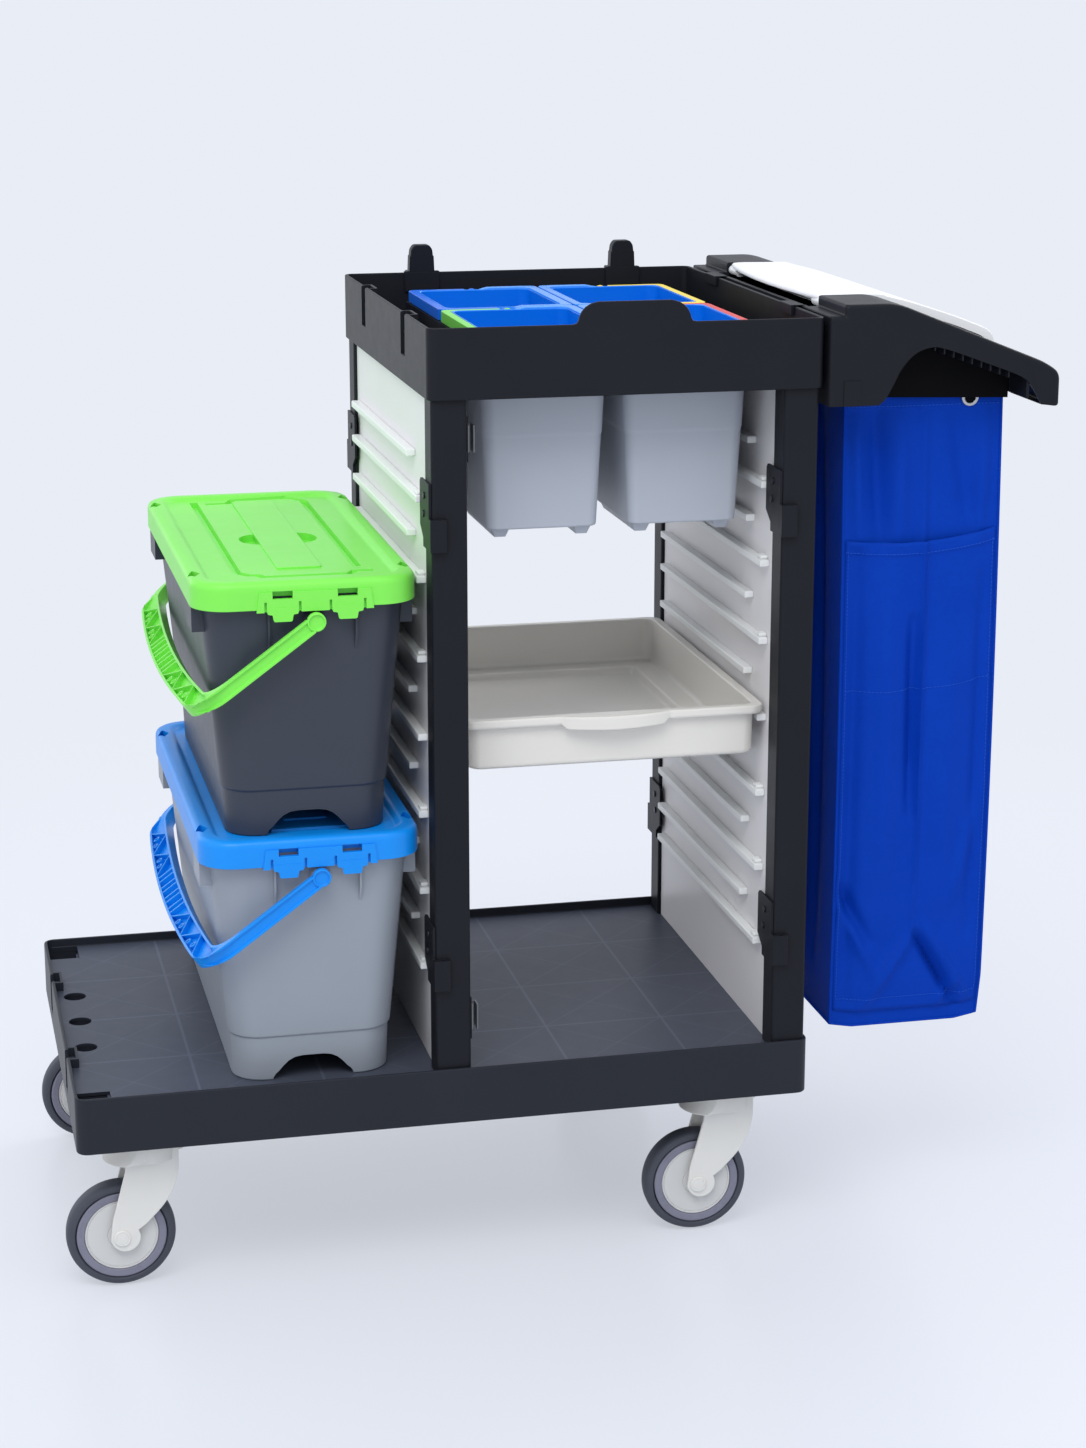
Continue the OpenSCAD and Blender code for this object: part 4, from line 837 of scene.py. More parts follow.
def bail_ring(inner, outer, share):
    """The bail cut across between its inner and outer edge: from an arm's channel to the grip's lattice."""
    ring = []
    for (s0, z0), (s1, z1) in zip(ARM_HALF, GRIP_HALF):
        s, z = s0 + (s1 - s0) * share, z0 + (z1 - z0) * share
        ring.append((inner[0] + (outer[0] - inner[0]) * s, inner[1] + (outer[1] - inner[1]) * s, z))
    return [(x, y, -z) for x, y, z in ring] + ring[::-1]


print("bail reach", REACH + BAND + BOW, "mm")

# %% [markdown]
# Away from the middle the ribs slant one way and then the other, with a small ring in each corner. Under
# the fingers they are straight and closer together.

# %% Bails
CELLS, STRAIGHT_TO, RIB_HALF, STRAIGHT_HALF, RIB_DEPTH = 12, 75, 1.8, 1.7, 8
CELL_RING = [(2.4, -7), (4.6, -7), (4.6, 7), (2.4, 7)]


def grip_edges(y):
    """Where the lattice's ribs start and end, across the grip at y."""
    inner = -REACH - bow_at(y, BAIL_HALF, OUTER_R - 2) - FLANGE_T / 2
    return inner, inner - BAND + FLANGE_T


def rib(a, ya, b, yb, half):
    """A rib across the grip from one place to another."""
    return prism([(a, ya - half), (a, ya + half), (b, yb + half), (b, yb - half)], -RIB_DEPTH, RIB_DEPTH)


def bail_ribs():
    ribs = []
    span = 2 * (BAIL_HALF - OUTER_R) / CELLS
    for k in range(CELLS):
        y0 = -BAIL_HALF + OUTER_R + k * span
        y1, middle = y0 + span, y0 + span / 2
        if abs(middle) < STRAIGHT_TO:
            near, far = grip_edges(middle)
            ribs += [rib(near, y, far, y, STRAIGHT_HALF) for y in (y0 + span * 0.3, y0 + span * 0.7)]
            continue
        odd = k % 2
        a, b = grip_edges(y0)[1 - odd], grip_edges(y1)[odd]
        ribs.append(rib(a, y0, b, y1, RIB_HALF))
        near, far = (b, a) if odd else (a, b)
        ring = turned(CELL_RING, steps=20, joined=True)
        ribs.append(shift(ring, near * 0.75 + far * 0.25, y0 + span * (0.25 if odd else 0.75)))
    return ribs


def bail_body():
    outer = bail_line(BAIL_HALF, REACH + BAND, OUTER_R)
    inner = bail_line(BAIL_HALF - ARM_T, REACH, INNER_R)
    rings = []
    for k, (a, b) in enumerate(zip(inner, outer)):
        from_end = min(k, len(inner) - 1 - k)
        share = min(max(from_end - 2, 0) / 7, 1)
        if from_end == 0:
            a, b = (-7, a[1]), (-7, b[1])
        rings.append(bail_ring(a, b, share * share * (3 - 2 * share)))
    face = BAIL_HALF
    boss = turned([(10.5, face - ARM_T), (10.5, face - 0.8), (9.7, face), (8.4, face), (7.8, face - 2.4),
                   (1, face - 2.6)], "y", 36)
    bail = merge(loft(rings), *bail_ribs(), *copies(boss, "y"))
    bmesh.ops.rotate(bail, verts=bail.verts, matrix=Matrix.Rotation(math.radians(-BAIL_REST), 3, "Y"))
    return bail


for level, finish in (("lower", BLUE), ("upper", GREEN)):
    x, y, z = BUCKET_AT[level]
    at = (x + PIVOT_X, y, z + PIVOT_Z)
    make(level + "_bail_beam", bail_body(), finish, level + "_bail", at, level + "_bail", edge=0.5)

# %% [markdown]
# ## Small bins
#
# Four small bins hang in the tray, each with a blue liner and a coloured bail. Half of the bin's rim stands
# back, and the bail lies flush round that half until it is lifted. The left and right bins are mirror
# images, so one set of shapes serves all four.

# %% Rims of bins and liners
BIN_W, BIN_L, BIN_H, BIN_RIM, BIN_STEP, BIN_Z = 160, 205, 225, 14, 6.1, 852
BIN_TOP_W, BIN_TOP_L, BAIL_TOP, BAIL_Z = 146.8, 191.8, 9.4, BIN_H - BIN_RIM / 2
PATH_STEP, RIM_CORNER = 6, 9


def rim_line(step):
    """The rim seen from above: set back on the left half, full on the right."""
    x0, x1, y1 = -BIN_W / 2 + step, BIN_W / 2, BIN_L / 2
    half = [(x0, y1 - step, RIM_CORNER), (7, y1 - step, 2), (12, y1, 2), (x1, y1, RIM_CORNER)]
    return fillet([(x, -y, c) for x, y, c in half] + half[::-1], closed=True, steps=6)


def rim_band(step, gap, r, section, lift=0.0):
    """A rim as a closed loft: its cross-section runs from the outer edge to the opening in the middle."""
    corners = [Vector(p) for p in rim_line(step)]
    path = []
    for here, ahead in zip(corners, corners[1:] + corners[:1]):
        count = max(1, round((ahead - here).length / PATH_STEP))
        path += [here.lerp(ahead, s / count) for s in range(count)]
    x1, y1 = BIN_TOP_W / 2 - gap - r, BIN_TOP_L / 2 - gap - r
    rings = []
    for spot in path:
        core = Vector((min(max(spot.x, -x1), x1), min(max(spot.y, -y1), y1)))
        inner = core + (spot - core).normalized() * r
        rise = min(max((spot.x - 11) / 9, 0), 1) * lift
        rings.append([(*spot.lerp(inner, s), z + (rise if top else 0)) for s, z, top in section])
    return loft(rings, joined=True)


def bin_body():
    body = tub(BIN_TOP_W, BIN_TOP_L, 16, [
        (16, 0, 0), (10, 0, 5), (5.2, 104, 1), (4.4, 108, 1), (0, 211, 0), (0, 213, 0), (2.5, 213, 0),
        (2.5, 211, 0), (11, 5, 4), (16, 2.6, 0)], shrink=0.4)
    low, high = BIN_H - BIN_RIM, BIN_H - 2.9
    rim = rim_band(BIN_STEP, 2.5, 14, [(0, low, 0), (0, high, 0), (1, high, 0), (1, low, 0)])
    foot = shift(tub(23, 156, 4, [(5, -10, 2.5), (0, 1, 0), (0, 3, 0)]), 47)
    pin = shift(turned([(2.5, BIN_L / 2 - 9), (2.5, BIN_L / 2)], "y", 20), 0, 0, BAIL_Z)
    return merge(body, rim, *copies(foot, "x"), *copies(pin, "y"))


print("rim points", len(rim_line(BIN_STEP)))

# %% [markdown]
# The liner's bowl hangs inside the bin and its lip lies on the rim, a little higher where the bail isn't. The
# lip is painted a paler blue than the bowl, as painted highlight on its rounded edges.
# The bail is a hoop of two bands, with an eye at each end round the bin's pin. Near the eyes its upper band
# is cut back, so that it clears the rim when it swings.

# %% Bins, liners and their bails
HOOP_DEPTH, HOOP_BAND, EYE_R = 6.3, 5.5, 7.3


def liner_body():
    low = BIN_H - 2.7
    section = [(0, low, 0), (0, BIN_H - 0.7, 1), (0.08, BIN_H, 1), (0.75, BIN_H, 1), (0.95, BIN_H - 0.8, 1),
               (1, low, 0)]
    lip = rim_band(BAIL_TOP + 0.4, 4.6, 12, section, 1.8)
    bowl = tub(BIN_TOP_W - 5.6, BIN_TOP_L - 5.6, 14, [
        (16, 2.8, 0), (10, 2.8, 4), (0, 205, 0), (0.6, BIN_H - 0.9, 0.5), (2.2, BIN_H - 0.9, 0.5),
        (1.7, 205, 0), (11.5, 4.5, 4), (16, 4.5, 0)], shrink=0.4)
    return bowl, lip


def hoop_flat(wide):
    """The hoop seen from above, with a band of one width."""
    w, l = BIN_W / 2, BIN_L / 2
    outer = [(0, -l, 0), (-w, -l, 11), (-w, l, 11), (0, l, 0)]
    inner = [(0, l - wide, 0), (-w + wide, l - wide, 6), (-w + wide, -l + wide, 6), (0, -l + wide, 0)]
    return fillet(outer, steps=6) + fillet(inner, steps=6)


def bin_bail_body():
    l, low = BIN_L / 2, BIN_L / 2 - HOOP_BAND
    band = prism(hoop_flat(HOOP_BAND), -HOOP_DEPTH, HOOP_DEPTH)
    hoop = carve(band, prism(hoop_flat(BAIL_TOP), 4.4, 7), operation="UNION")
    hoop = carve(hoop, turned([(EYE_R - 0.1, -l - 1), (EYE_R - 0.1, l + 1)], "y", 30),
                 block(-BAIL_TOP, 20, -l - 1, l + 1, 4, 9))
    eye = turned([(2.6, low), (EYE_R, low), (EYE_R, l), (2.6, l)], "y", 30, joined=True)
    return shift(merge(hoop, *copies(eye, "y")), 0, 0, BAIL_Z)


for corner, (x, y) in BIN_AT.items():
    bowl, lip = liner_body()
    for name, bm, finish, body, node, edge in (
            ("bin_tub_", bin_body(), BIN, "bin_", "bin_", 0.4),
            ("liner_bowl_", bowl, LINER, "bin_", "liner_", 0),
            # the lip's paler blue is a painted highlight on its rounded edges
            ("liner_lip_", lip, LINER_RIM_HIGHLIGHT, "bin_", None, 0),
            ("bin_hoop_", bin_bail_body(), BAIL_TINTS[corner], "bin_bail_", "bin_bail_", 0.8)):
        shape = mirrored(bm, "x") if corner.endswith("right") else bm
        make(name + corner, shape, finish, body + corner, (x, y, BIN_Z), node and node + corner, edge)

# %% [markdown]
# ## The drawer
#
# The drawer is a shallow tray of pale plastic. Its rim is a turned-over band that rides on a pair of
# runners, its floor has a sunken middle with a bevelled step, and at the front the rim bulges and hangs
# lower as a lip to pull by.

# %% Drawer
DRAWER_AT = (627.5, 289, 582.5)
DRAWER_W, DRAWER_L, DRAWER_TOP = 355, 474, 60
LIP_HALF, LIP_OUT, LIP_DROP, LIP_BACK, LIP_STEPS = 66, 11, 9, -226, 24


def lip_ring(x):
    """The pull lip cut across at x: it stands out and hangs lower towards the middle."""
    share = 1 - abs(x) / LIP_HALF
    rise = min(share / 0.16, 1)
    low = 52 - LIP_DROP * rise * rise * (3 - 2 * rise) * (0.8 + 0.2 * share)
    out = -DRAWER_L / 2 - LIP_OUT * (1 - (x / LIP_HALF) ** 2) * min(share / 0.1, 1)
    top = DRAWER_TOP - 0.2
    flat = fillet([(LIP_BACK, top, 0), (out, top, 2.4), (out, low, 2.4), (LIP_BACK, low, 0)], closed=True)
    return [(x, y, z) for y, z in flat]


drawer = tub(DRAWER_W, DRAWER_L, 16, [
    (60, -6, 0), (44, -6, 3), (44, 0, 1.5), (9.6, 0, 6), (9, 49.5, 1.5), (1.4, 49.5, 1.2), (0, 52, 1.5),
    (0, DRAWER_TOP, 2.2), (11.4, DRAWER_TOP, 2.2), (12.4, 6, 6), (43, 6, 3), (47.5, -2.8, 3), (60, -2.8, 0)],
    shrink=0.25, steps=9)
grip = loft([lip_ring(LIP_HALF * s / LIP_STEPS) for s in range(-LIP_STEPS, LIP_STEPS + 1)])
slides = copies(block(167.5, 176.5, -207, 207, 46, 50.5), "x")
make("drawer_tray", merge(drawer, grip, *slides), DRAWER, "drawer", DRAWER_AT, "drawer")

# %% [markdown]
# ## Wheels
#
# Each wheel has a pale hub disc, a grey core ring pressed on it and a dark tread. All three are turned
# pieces: a profile goes once round the axle. The tread has soft shoulders and a fine groove where it meets
# the core.

# %% Wheels
WHEEL_R, TRAIL = 62.5, 36
TREAD = [(51.6, -9), (52.2, -12.2), (53.6, -13.6), (57.5, -13.2), (60.6, -10.6), (62.1, -6.5), (62.5, 0)]
CORE = [(42.2, -9), (42.2, -12.6), (43, -13.4), (49.6, -13.8), (51, -13), (51.4, -9)]
HUB_FACE = [(5.1, 15), (9, 15), (9.6, 14.2), (9.6, 12.6), (15, 12.2), (15.6, 11.6), (16.4, 12.2), (30, 12.9),
            (38.5, 12.4), (39.4, 11.6), (40.2, 12.6), (41.4, 12.4), (42, 11.4)]
CASTER_AT = {}
for corner in CORNERS:
    x = PAD_X if corner.endswith("left") else BASE_L - PAD_X
    y = PAD_Y if corner.startswith("front") else BASE_D - PAD_Y
    CASTER_AT[corner] = (x, y)


def wheel_ring(half):
    """A ring about the axle, from one half of its profile."""
    other = [(r, -y) for r, y in reversed(half) if y != 0]
    return turned(half + other, "y", 96, joined=True)


for corner, (x, y) in CASTER_AT.items():
    at, body = (x - TRAIL, y, WHEEL_R), "wheel_" + corner
    make("tread_" + corner, wheel_ring(TREAD), TYRE, body, at, "tyre_" + corner, smooth=50)
    make("core_ring_" + corner, wheel_ring(CORE), CORE_GREY, body, at, smooth=30)
    make("hub_disc_" + corner, wheel_ring(HUB_FACE), HUB, body, at, "hub_" + corner, smooth=30)

# %% [markdown]
# ## Caster forks
#
# A fork is one pale moulding. Its crown is a bowl that swoops out over the wheel as a brim, two flat legs
# run down from it to the axle, and a small loop at the front takes a lock. The crown is a loft whose
# outline is the hull of two circles, and the second circle moves back as the loft comes down.

# %% The fork's shapes
CROWN_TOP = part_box("fork_front_left")[1].z / mm
LEG_OUT, LEG_IN, AXLE_BACK, EYE = 22, 18, -32, 17
# Each section of the crown: radius on the swivel, radius over the wheel, how far back and how far down.
BORE = ((8.2, 8.4, 1, 6), (8.2, 8.4, 1, 0))
CROWN = ((26, 27, 5, 0), (29.5, 31, 6, 0.8), (31, 32.5, 7, 3), (31.6, 33, 9, 12), (32, 34, 11, 20),
         (32, 35.4, 14, 27), (32, 37, 16, 31), (32, 37.6, 16.6, 33), (29, 35, 16, 33), (28.4, 33, 13, 26),
         (28, 29.5, 6, 8), (27, 28, 4, 6))
AXLE_END = [(5, 21.5), (9.6, 21.5), (9.6, 23.6), (8.8, 24.3), (7.4, 24.3), (7, 23.8), (6.4, 24.3), (1, 24.4)]


def crown_ring(front, back, tail, down, steps=40):
    """The hull of a circle on the swivel and a circle set back over the wheel."""
    tilt = math.asin((back - front) / tail)
    ring = []
    for r, start, sweep, x in ((front, -math.pi / 2 - tilt, math.pi + 2 * tilt, 0),
                               (back, math.pi / 2 + tilt, math.pi - 2 * tilt, -tail)):
        for s in range(steps + 1):
            a = start + sweep * s / steps
            ring.append((r * math.cos(a) + x, r * math.sin(a), CROWN_TOP - down))
    return ring


def leg_flat():
    """A leg seen from the side: wide under the crown, round at the axle."""
    low = CROWN_TOP - 42
    right = smooth_line([(30.5, CROWN_TOP - 14), (30.5, low + 4), (29, low - 10), (24, low - 26),
                         (12, low - 46), (-8, WHEEL_R + 15)])
    turns = [math.radians(a) for a in range(30, -186, -12)]
    boss = [(AXLE_BACK + EYE * math.cos(a), WHEEL_R + EYE * math.sin(a)) for a in turns]
    return right + boss + [(-46, WHEEL_R + 22), (-30, low - 2), (-29, CROWN_TOP - 14)]


def fork_body():
    crown = loft([crown_ring(*section) for section in BORE + CROWN], joined=True)
    legs = copies(prism(leg_flat(), LEG_IN, LEG_OUT, "y"), "y")
    top = CROWN_TOP - 1
    tab = [(29, top, 0), (41, top, 4), (43, top - 20, 5), (36, top - 27, 3), (29, top - 27, 0)]
    loop = carve(prism(fillet(tab, closed=True), -7, 1, "y"), block(34, 38.5, -12, 6, top - 17, top - 6))
    return merge(crown, *legs, loop)


def axle_body():
    """The axle with a shallow cap at each end, which has a fine ring on its face."""
    return turned([(r, -y) for r, y in reversed(AXLE_END)] + AXLE_END, "y", 40)


print("crown top", round(CROWN_TOP, 1), "mm")

# %% [markdown]
# Each fork swivels with its own caster body, and its axle goes with it.

# %% Forks
for corner, (x, y) in CASTER_AT.items():
    fork, axle = "fork_" + corner, "axle_" + corner
    make("fork_moulding_" + corner, fork_body(), FORK, body_of_node[fork], (x, y, 0), fork, 0.9)
    make("axle_pin_" + corner, axle_body(), FORK, body_of_node[axle], (x - TRAIL, y, WHEEL_R), axle)

# %% [markdown]
# ## The bag's cover
#
# The white cover bows down from its hinge to a rolled lip. Its side view is a smooth curve through a few
# points, so that it catches one long highlight. Its hinge edge is curved in plan and hides the rod.

# %% The cover's lines
COVER_FRONT, COVER_BACK, COVER_CUTS = 99.5, 460.5, 32
COVER_TOP = [(880, 1104), (939, 1104), (960, 1099.5), (985, 1093), (1007, 1086), (1040, 1075), (1071, 1063)]
COVER_NOSE = [(0.2, 1098.2), (0, 1100), (0.6, 1102), (2.6, 1103.6), (8, 1104), (16, 1104.2)]
COVER_LIP = [(1079, 1058.5), (1084, 1052.5), (1086, 1045.5), (1086, 1039)]
ROD_X, ROD_Z, KNUCKLE = 880, 1095, 30
HINGE_X, HINGE_BOW = 877, 13
ROUND, PLATE, TURNED_IN = 1.6, 2.8, 2.2


def cover_line(y):
    """The cover's upper face at y: over the bowed hinge edge, down the slope and round the lip."""
    middle, half = (COVER_FRONT + COVER_BACK) / 2, (COVER_BACK - COVER_FRONT) / 2
    left = HINGE_X - HINGE_BOW * (1 - ((y - middle) / half) ** 2)
    nose = [(left + x, z) for x, z in COVER_NOSE]
    return [Vector(p) for p in nose + smooth_line(COVER_TOP)[6:] + COVER_LIP]


cover_span = COVER_BACK - COVER_FRONT
cover_steps = [COVER_FRONT + cover_span * k / COVER_CUTS for k in range(COVER_CUTS + 1)]
cover_lines = [cover_line(y) for y in cover_steps]
print("cover", len(cover_lines), "lines of", len(cover_lines[0]), "points")

# %% [markdown]
# The cover is a thin plate, cut across at each place down its slope. Along both sides it is turned down,
# further below the hinge than at it.


# %% Cover
def side_in(y, reach):
    """How far a point moves in from the cover's side, if it is on one."""
    return {COVER_FRONT: reach, COVER_BACK: -reach}.get(y, 0)


def cover_ring(k):
    """The cover cut across at one place down its slope."""
    plate = []
    for y, line in zip(cover_steps, cover_lines):
        ahead = line[min(k + 1, len(line) - 1)] - line[max(k - 1, 0)]
        plate.append((y, line[k], Vector((ahead.y, -ahead.x)).normalized()))
    (y0, first, inward), (y1, last, _) = plate[0], plate[-1]
    deep = 3.2 + 6.8 * min(max(first.x - 888, 0) / 14, 1)
    ring = [(y0, first + inward * deep), (y0, first + inward * ROUND), (y0 + 0.5, first + inward * 0.5)]
    ring += [(y + side_in(y, ROUND), spot) for y, spot, _ in plate]
    ring += [(y1 - 0.5, last + inward * 0.5), (y1, last + inward * ROUND), (y1, last + inward * deep)]
    ring += [(y1 - TURNED_IN, last + inward * deep)]
    ring += [(y + side_in(y, TURNED_IN), spot + down * PLATE) for y, spot, down in reversed(plate)]
    ring += [(y0 + TURNED_IN, first + inward * deep)]
    return [(spot.x, y, spot.y) for y, spot in ring]


cover = loft([cover_ring(k) for k in range(len(cover_lines[0]))])
knuckles = []
for y in (COVER_FRONT, COVER_BACK - KNUCKLE):
    ring = turned([(3.05, y), (6, y), (6, y + KNUCKLE), (3.05, y + KNUCKLE)], "y", 30, joined=True)
    knuckles.append(shift(ring, ROD_X, 0, ROD_Z))
    knuckles.append(block(ROD_X + 3.4, ROD_X + 6, y, y + KNUCKLE, ROD_Z, 1102))
make("bag_cover", merge(cover, *knuckles), WHITE, "bag_lid", node="bag_lid", smooth=40)

# %% [markdown]
# ## The bag holder's arms
#
# Each arm is a hollow moulding: a skin that bends over the slope, and an outer wall with a wide arch. Where
# the skin meets the wall the edge is broadly rounded, and this is what catches the light. The skin is a
# loft across the arm, and its first sections are smaller by a quarter circle. Ribs stand behind the arch.

# %% The arm's outlines
HOLDER_X0, HOLDER_X1, HOLDER_Z0, HOLDER_Z1 = 855, 1127, 992, 1104
ARM_WIDE, SKIN, EDGE_R, EDGE_STEPS = 98, 3.5, 5, 5
FLAT_END, SLOPE_END, ARM_FALL, HANGER_FRONT = 933, 1109, 70, 58
ARCH_LINE = [(913, 992), (921, 999), (930, 1015), (939, 1032), (953, 1047), (970, 1054), (989, 1052.5),
             (1040, 1034.5), (1080, 1019), (1093, 1007), (1105, 987)]


def arm_top(x):
    """The height of the arm's upper face."""
    return HOLDER_Z1 - ARM_FALL * max(0, x - FLAT_END) / (SLOPE_END - FLAT_END)


def arm_line(inset):
    """The arm's upper outline, from its foot by the tray to the tip."""
    i, x0, x1, top = inset, HOLDER_X0, HOLDER_X1, HOLDER_Z1
    foot = [(x0 + i, HOLDER_Z0, 0), (x0 + i, top - 12 - i, 2), (x0 + 17 + i, top - 12 - i, 2)]
    slope = [(x0 + 17 + i, top - i, 4), (FLAT_END - i / 4, top - i, 14),
             (SLOPE_END - i / 2, top - ARM_FALL - i, 15)]
    tip = [(x1 - i, top - ARM_FALL - 12, 9), (x1 - i, HOLDER_Z0 - 8, 4),
           (x1 - 20 + i / 2, HOLDER_Z0 - 6 + i / 4, 0)]
    return fillet(foot + slope + tip, steps=6)


print("arm outline", len(arm_line(0)), "points")

# %% [markdown]
# The rear arm and its lining, whose near-black is painted shade, are the front ones, mirrored across the
# cart.

# %% Arms
INNER_WALLS = ((855.5, 888.7, 1091.6), (872.5, 888.7, 1103.2))
CROSS_WALLS = (885.2, 1087.3)
RIBS, RIB_X, RIB_GAP = 9, 977, 11


def arm_body():
    sections = []
    for k in range(EDGE_STEPS + 1):
        a = math.radians(90 * k / EDGE_STEPS)
        sections.append((EDGE_R * (1 - math.cos(a)), EDGE_R * (1 - math.sin(a))))
    skin = []
    for y, inset in sections + [(ARM_WIDE - 1, 0), (ARM_WIDE, 0.8)]:
        flat = arm_line(inset) + arm_line(inset + SKIN)[::-1]
        skin.append([(x, y, z) for x, z in flat])
    wall = arm_line(EDGE_R - 0.3)[:-1] + smooth_line(ARCH_LINE)[::-1]
    parts = [loft(skin), prism(wall, 0.1, SKIN, "y")]
    for x0, x1, top in INNER_WALLS:
        parts.append(block(x0, x1, ARM_WIDE - SKIN, ARM_WIDE - 0.3, HOLDER_Z0 + 0.3, top))
    for x in CROSS_WALLS:
        parts.append(block(x, x + SKIN, 2, ARM_WIDE - 0.5, HOLDER_Z0 + 2, arm_top(x + SKIN) - 2))
    for x in [RIB_X + RIB_GAP * k for k in range(RIBS)]:
        parts.append(block(x, x + 1.6, 2, 44, 1046 - 0.37 * (x - 989), arm_top(x) - 2))
    parts.append(block(HOLDER_X0 + 17, HOLDER_X0 + 37, -1, 0.3, HOLDER_Z0, HOLDER_Z0 + 28))
    return merge(*parts)


def shade_lining_body():
    """A wall behind the arch, which hangs a little over the bag's hem; its near-black is painted shade for
    the shade inside the arm.
    """
    top = HOLDER_Z1 - 5
    flat = [(915, 993), (1086.5, 987.5), (1087, arm_top(1087) - 4), (FLAT_END, top), (889, top), (889, 993)]
    return prism(flat, HANGER_FRONT - 3.5, HANGER_FRONT - 1, "y")


def to_rear(bm):
    return shift(mirrored(bm, "y"), 0, BASE_D)


make("arm_shell_front", arm_body(), BLACK, node="bag_arm_front", smooth=40)
make("arm_shell_rear", to_rear(arm_body()), BLACK, node="bag_arm_rear", smooth=40)
# painted shade: the linings are near-black for the shade inside the arms
make("arm_shade_lining_front", shade_lining_body(), SHADE_BLACK)
make("arm_shade_lining_rear", to_rear(shade_lining_body()), SHADE_BLACK)

# %% [markdown]
# ## The waste bag
#
# The bag is sewn from blue cloth with a pocket on its front. It hangs from the frame at its top and is
# empty, so its walls are slack: they belly a little, draw in at the seams and crease where the stiff bottom
# holds them. The shell is a grid of points round the bag and down it. Each fold is a line on one wall, and
# a point near that line moves out or in by a smooth bell curve, so each crease is where the real one is.

# %% The bag's folds
BAG_X, BAG_Y, BAG_W, BAG_L, BAG_TOP, BAG_LOW = 989, 280, 188, 431, 1010, 234
FOLD_GAIN, BELLY, SEAM_WIDE = 2.4, 1.6, 0.06
# Each fold: start across and down, end across and down, width, height in millimetres.
FOLDS = {
    "front": [
        (-0.86, 0.06, -0.80, 0.24, 0.07, 2.6), (-0.60, 0.04, -0.52, 0.24, 0.11, -4.4),
        (-0.28, 0.05, -0.30, 0.24, 0.12, 2.8), (0.42, 0.05, 0.62, 0.22, 0.12, -2.6),
        (0.80, 0.05, 0.74, 0.24, 0.08, 2.4), (-0.08, 0.36, -0.06, 0.66, 0.07, -4.2),
        (0.02, 0.00, 0.04, 0.85, 0.035, 2.4), (-0.80, 0.26, -0.82, 0.95, 0.09, -3.4),
        (-0.45, 0.30, -0.40, 0.75, 0.16, 2.6), (0.40, 0.40, 0.36, 0.80, 0.18, 2.4),
        (0.82, 0.30, 0.80, 0.85, 0.08, -2.6), (0.06, 0.85, 0.68, 0.975, 0.05, -6.0),
        (0.18, 0.84, 0.80, 0.96, 0.06, 3.6), (0.04, 0.85, -0.58, 0.965, 0.09, 3.6),
        (-0.98, 0.76, -0.55, 0.86, 0.07, -4.2), (-0.94, 0.80, -0.46, 0.91, 0.07, 2.8),
        (0.40, 0.97, 0.66, 0.93, 0.05, 2.6), (0.92, 0.62, 0.55, 0.80, 0.09, 2.0)],
    "right": [
        (-0.70, 0.04, -0.64, 0.90, 0.07, -3.6), (-0.30, 0.05, -0.36, 0.85, 0.10, 3.0),
        (0.10, 0.05, 0.06, 0.92, 0.09, -4.0), (0.50, 0.04, 0.56, 0.85, 0.09, 2.8),
        (0.30, 0.75, 0.80, 0.96, 0.06, -4.0), (-0.20, 0.80, -0.75, 0.96, 0.06, 3.2)],
    "back": [
        (-0.55, 0.05, -0.50, 0.60, 0.12, -4.0), (0.30, 0.05, 0.36, 0.75, 0.14, -3.6),
        (0.00, 0.50, -0.60, 0.95, 0.08, 3.4), (0.10, 0.60, 0.75, 0.96, 0.08, -4.0)],
    "left": [
        (-0.80, 0.03, -0.74, 0.92, 0.05, -4.0), (-0.55, 0.04, -0.50, 0.80, 0.08, 3.4),
        (-0.15, 0.05, -0.20, 0.90, 0.09, -3.6), (0.25, 0.04, 0.18, 0.85, 0.09, 3.0),
        (0.60, 0.06, 0.66, 0.90, 0.08, -3.4), (-0.70, 0.78, -0.20, 0.96, 0.05, 3.2)],
}
# Each wall: the way across it, the way out of it, half its width and its distance from the middle.
WALLS = {
    "front": (Vector((1, 0, 0)), Vector((0, -1, 0)), BAG_W / 2, BAG_L / 2),
    "right": (Vector((0, 1, 0)), Vector((1, 0, 0)), BAG_L / 2, BAG_W / 2),
    "back": (Vector((-1, 0, 0)), Vector((0, 1, 0)), BAG_W / 2, BAG_L / 2),
    "left": (Vector((0, -1, 0)), Vector((-1, 0, 0)), BAG_L / 2, BAG_W / 2),
}


def fold_height(wall, s, v):
    """How far the cloth stands out at a place on a wall: s goes across from -1 to 1, v down from 0 to 1."""
    ratio = (BAG_TOP - BAG_LOW) / WALLS[wall][2]
    height = BELLY * (1 - s * s) * math.sin(math.pi * min(v * 1.1, 1))
    for s0, v0, s1, v1, wide, tall in FOLDS[wall]:
        line = Vector((s1 - s0, (v1 - v0) * ratio))
        here = Vector((s - s0, (v - v0) * ratio))
        t = here.dot(line) / line.length_squared
        gap = (here - line * min(max(t, 0), 1)).length
        ease = 0.25 + 0.75 * math.sin(math.pi * min(max(t, 0.02), 0.98)) ** 0.6
        height += FOLD_GAIN * tall * ease * math.exp(-(gap / wide) ** 2)
    seam = 1 - math.exp(-((1 - abs(s)) / SEAM_WIDE) ** 2)
    return height * seam * min(v / 0.05, 1) * min((1.002 - v) / 0.03, 1)


print("folds", sum(len(folds) for folds in FOLDS.values()))

# %% [markdown]
# Towards the bottom the bag narrows a little, and its sides and corners lift. The hem at the top is a double
# layer, so it stands out a little. The bottom is closed by three smaller rings.

# %% Bag shell
ACROSS, ALONG, DOWN = 46, 80, 120
HEM, HEM_OUT, HEM_EDGE, SWAY, CORNER_LIFT = 0.042, 0.9, 0.0008, 3.5, 5


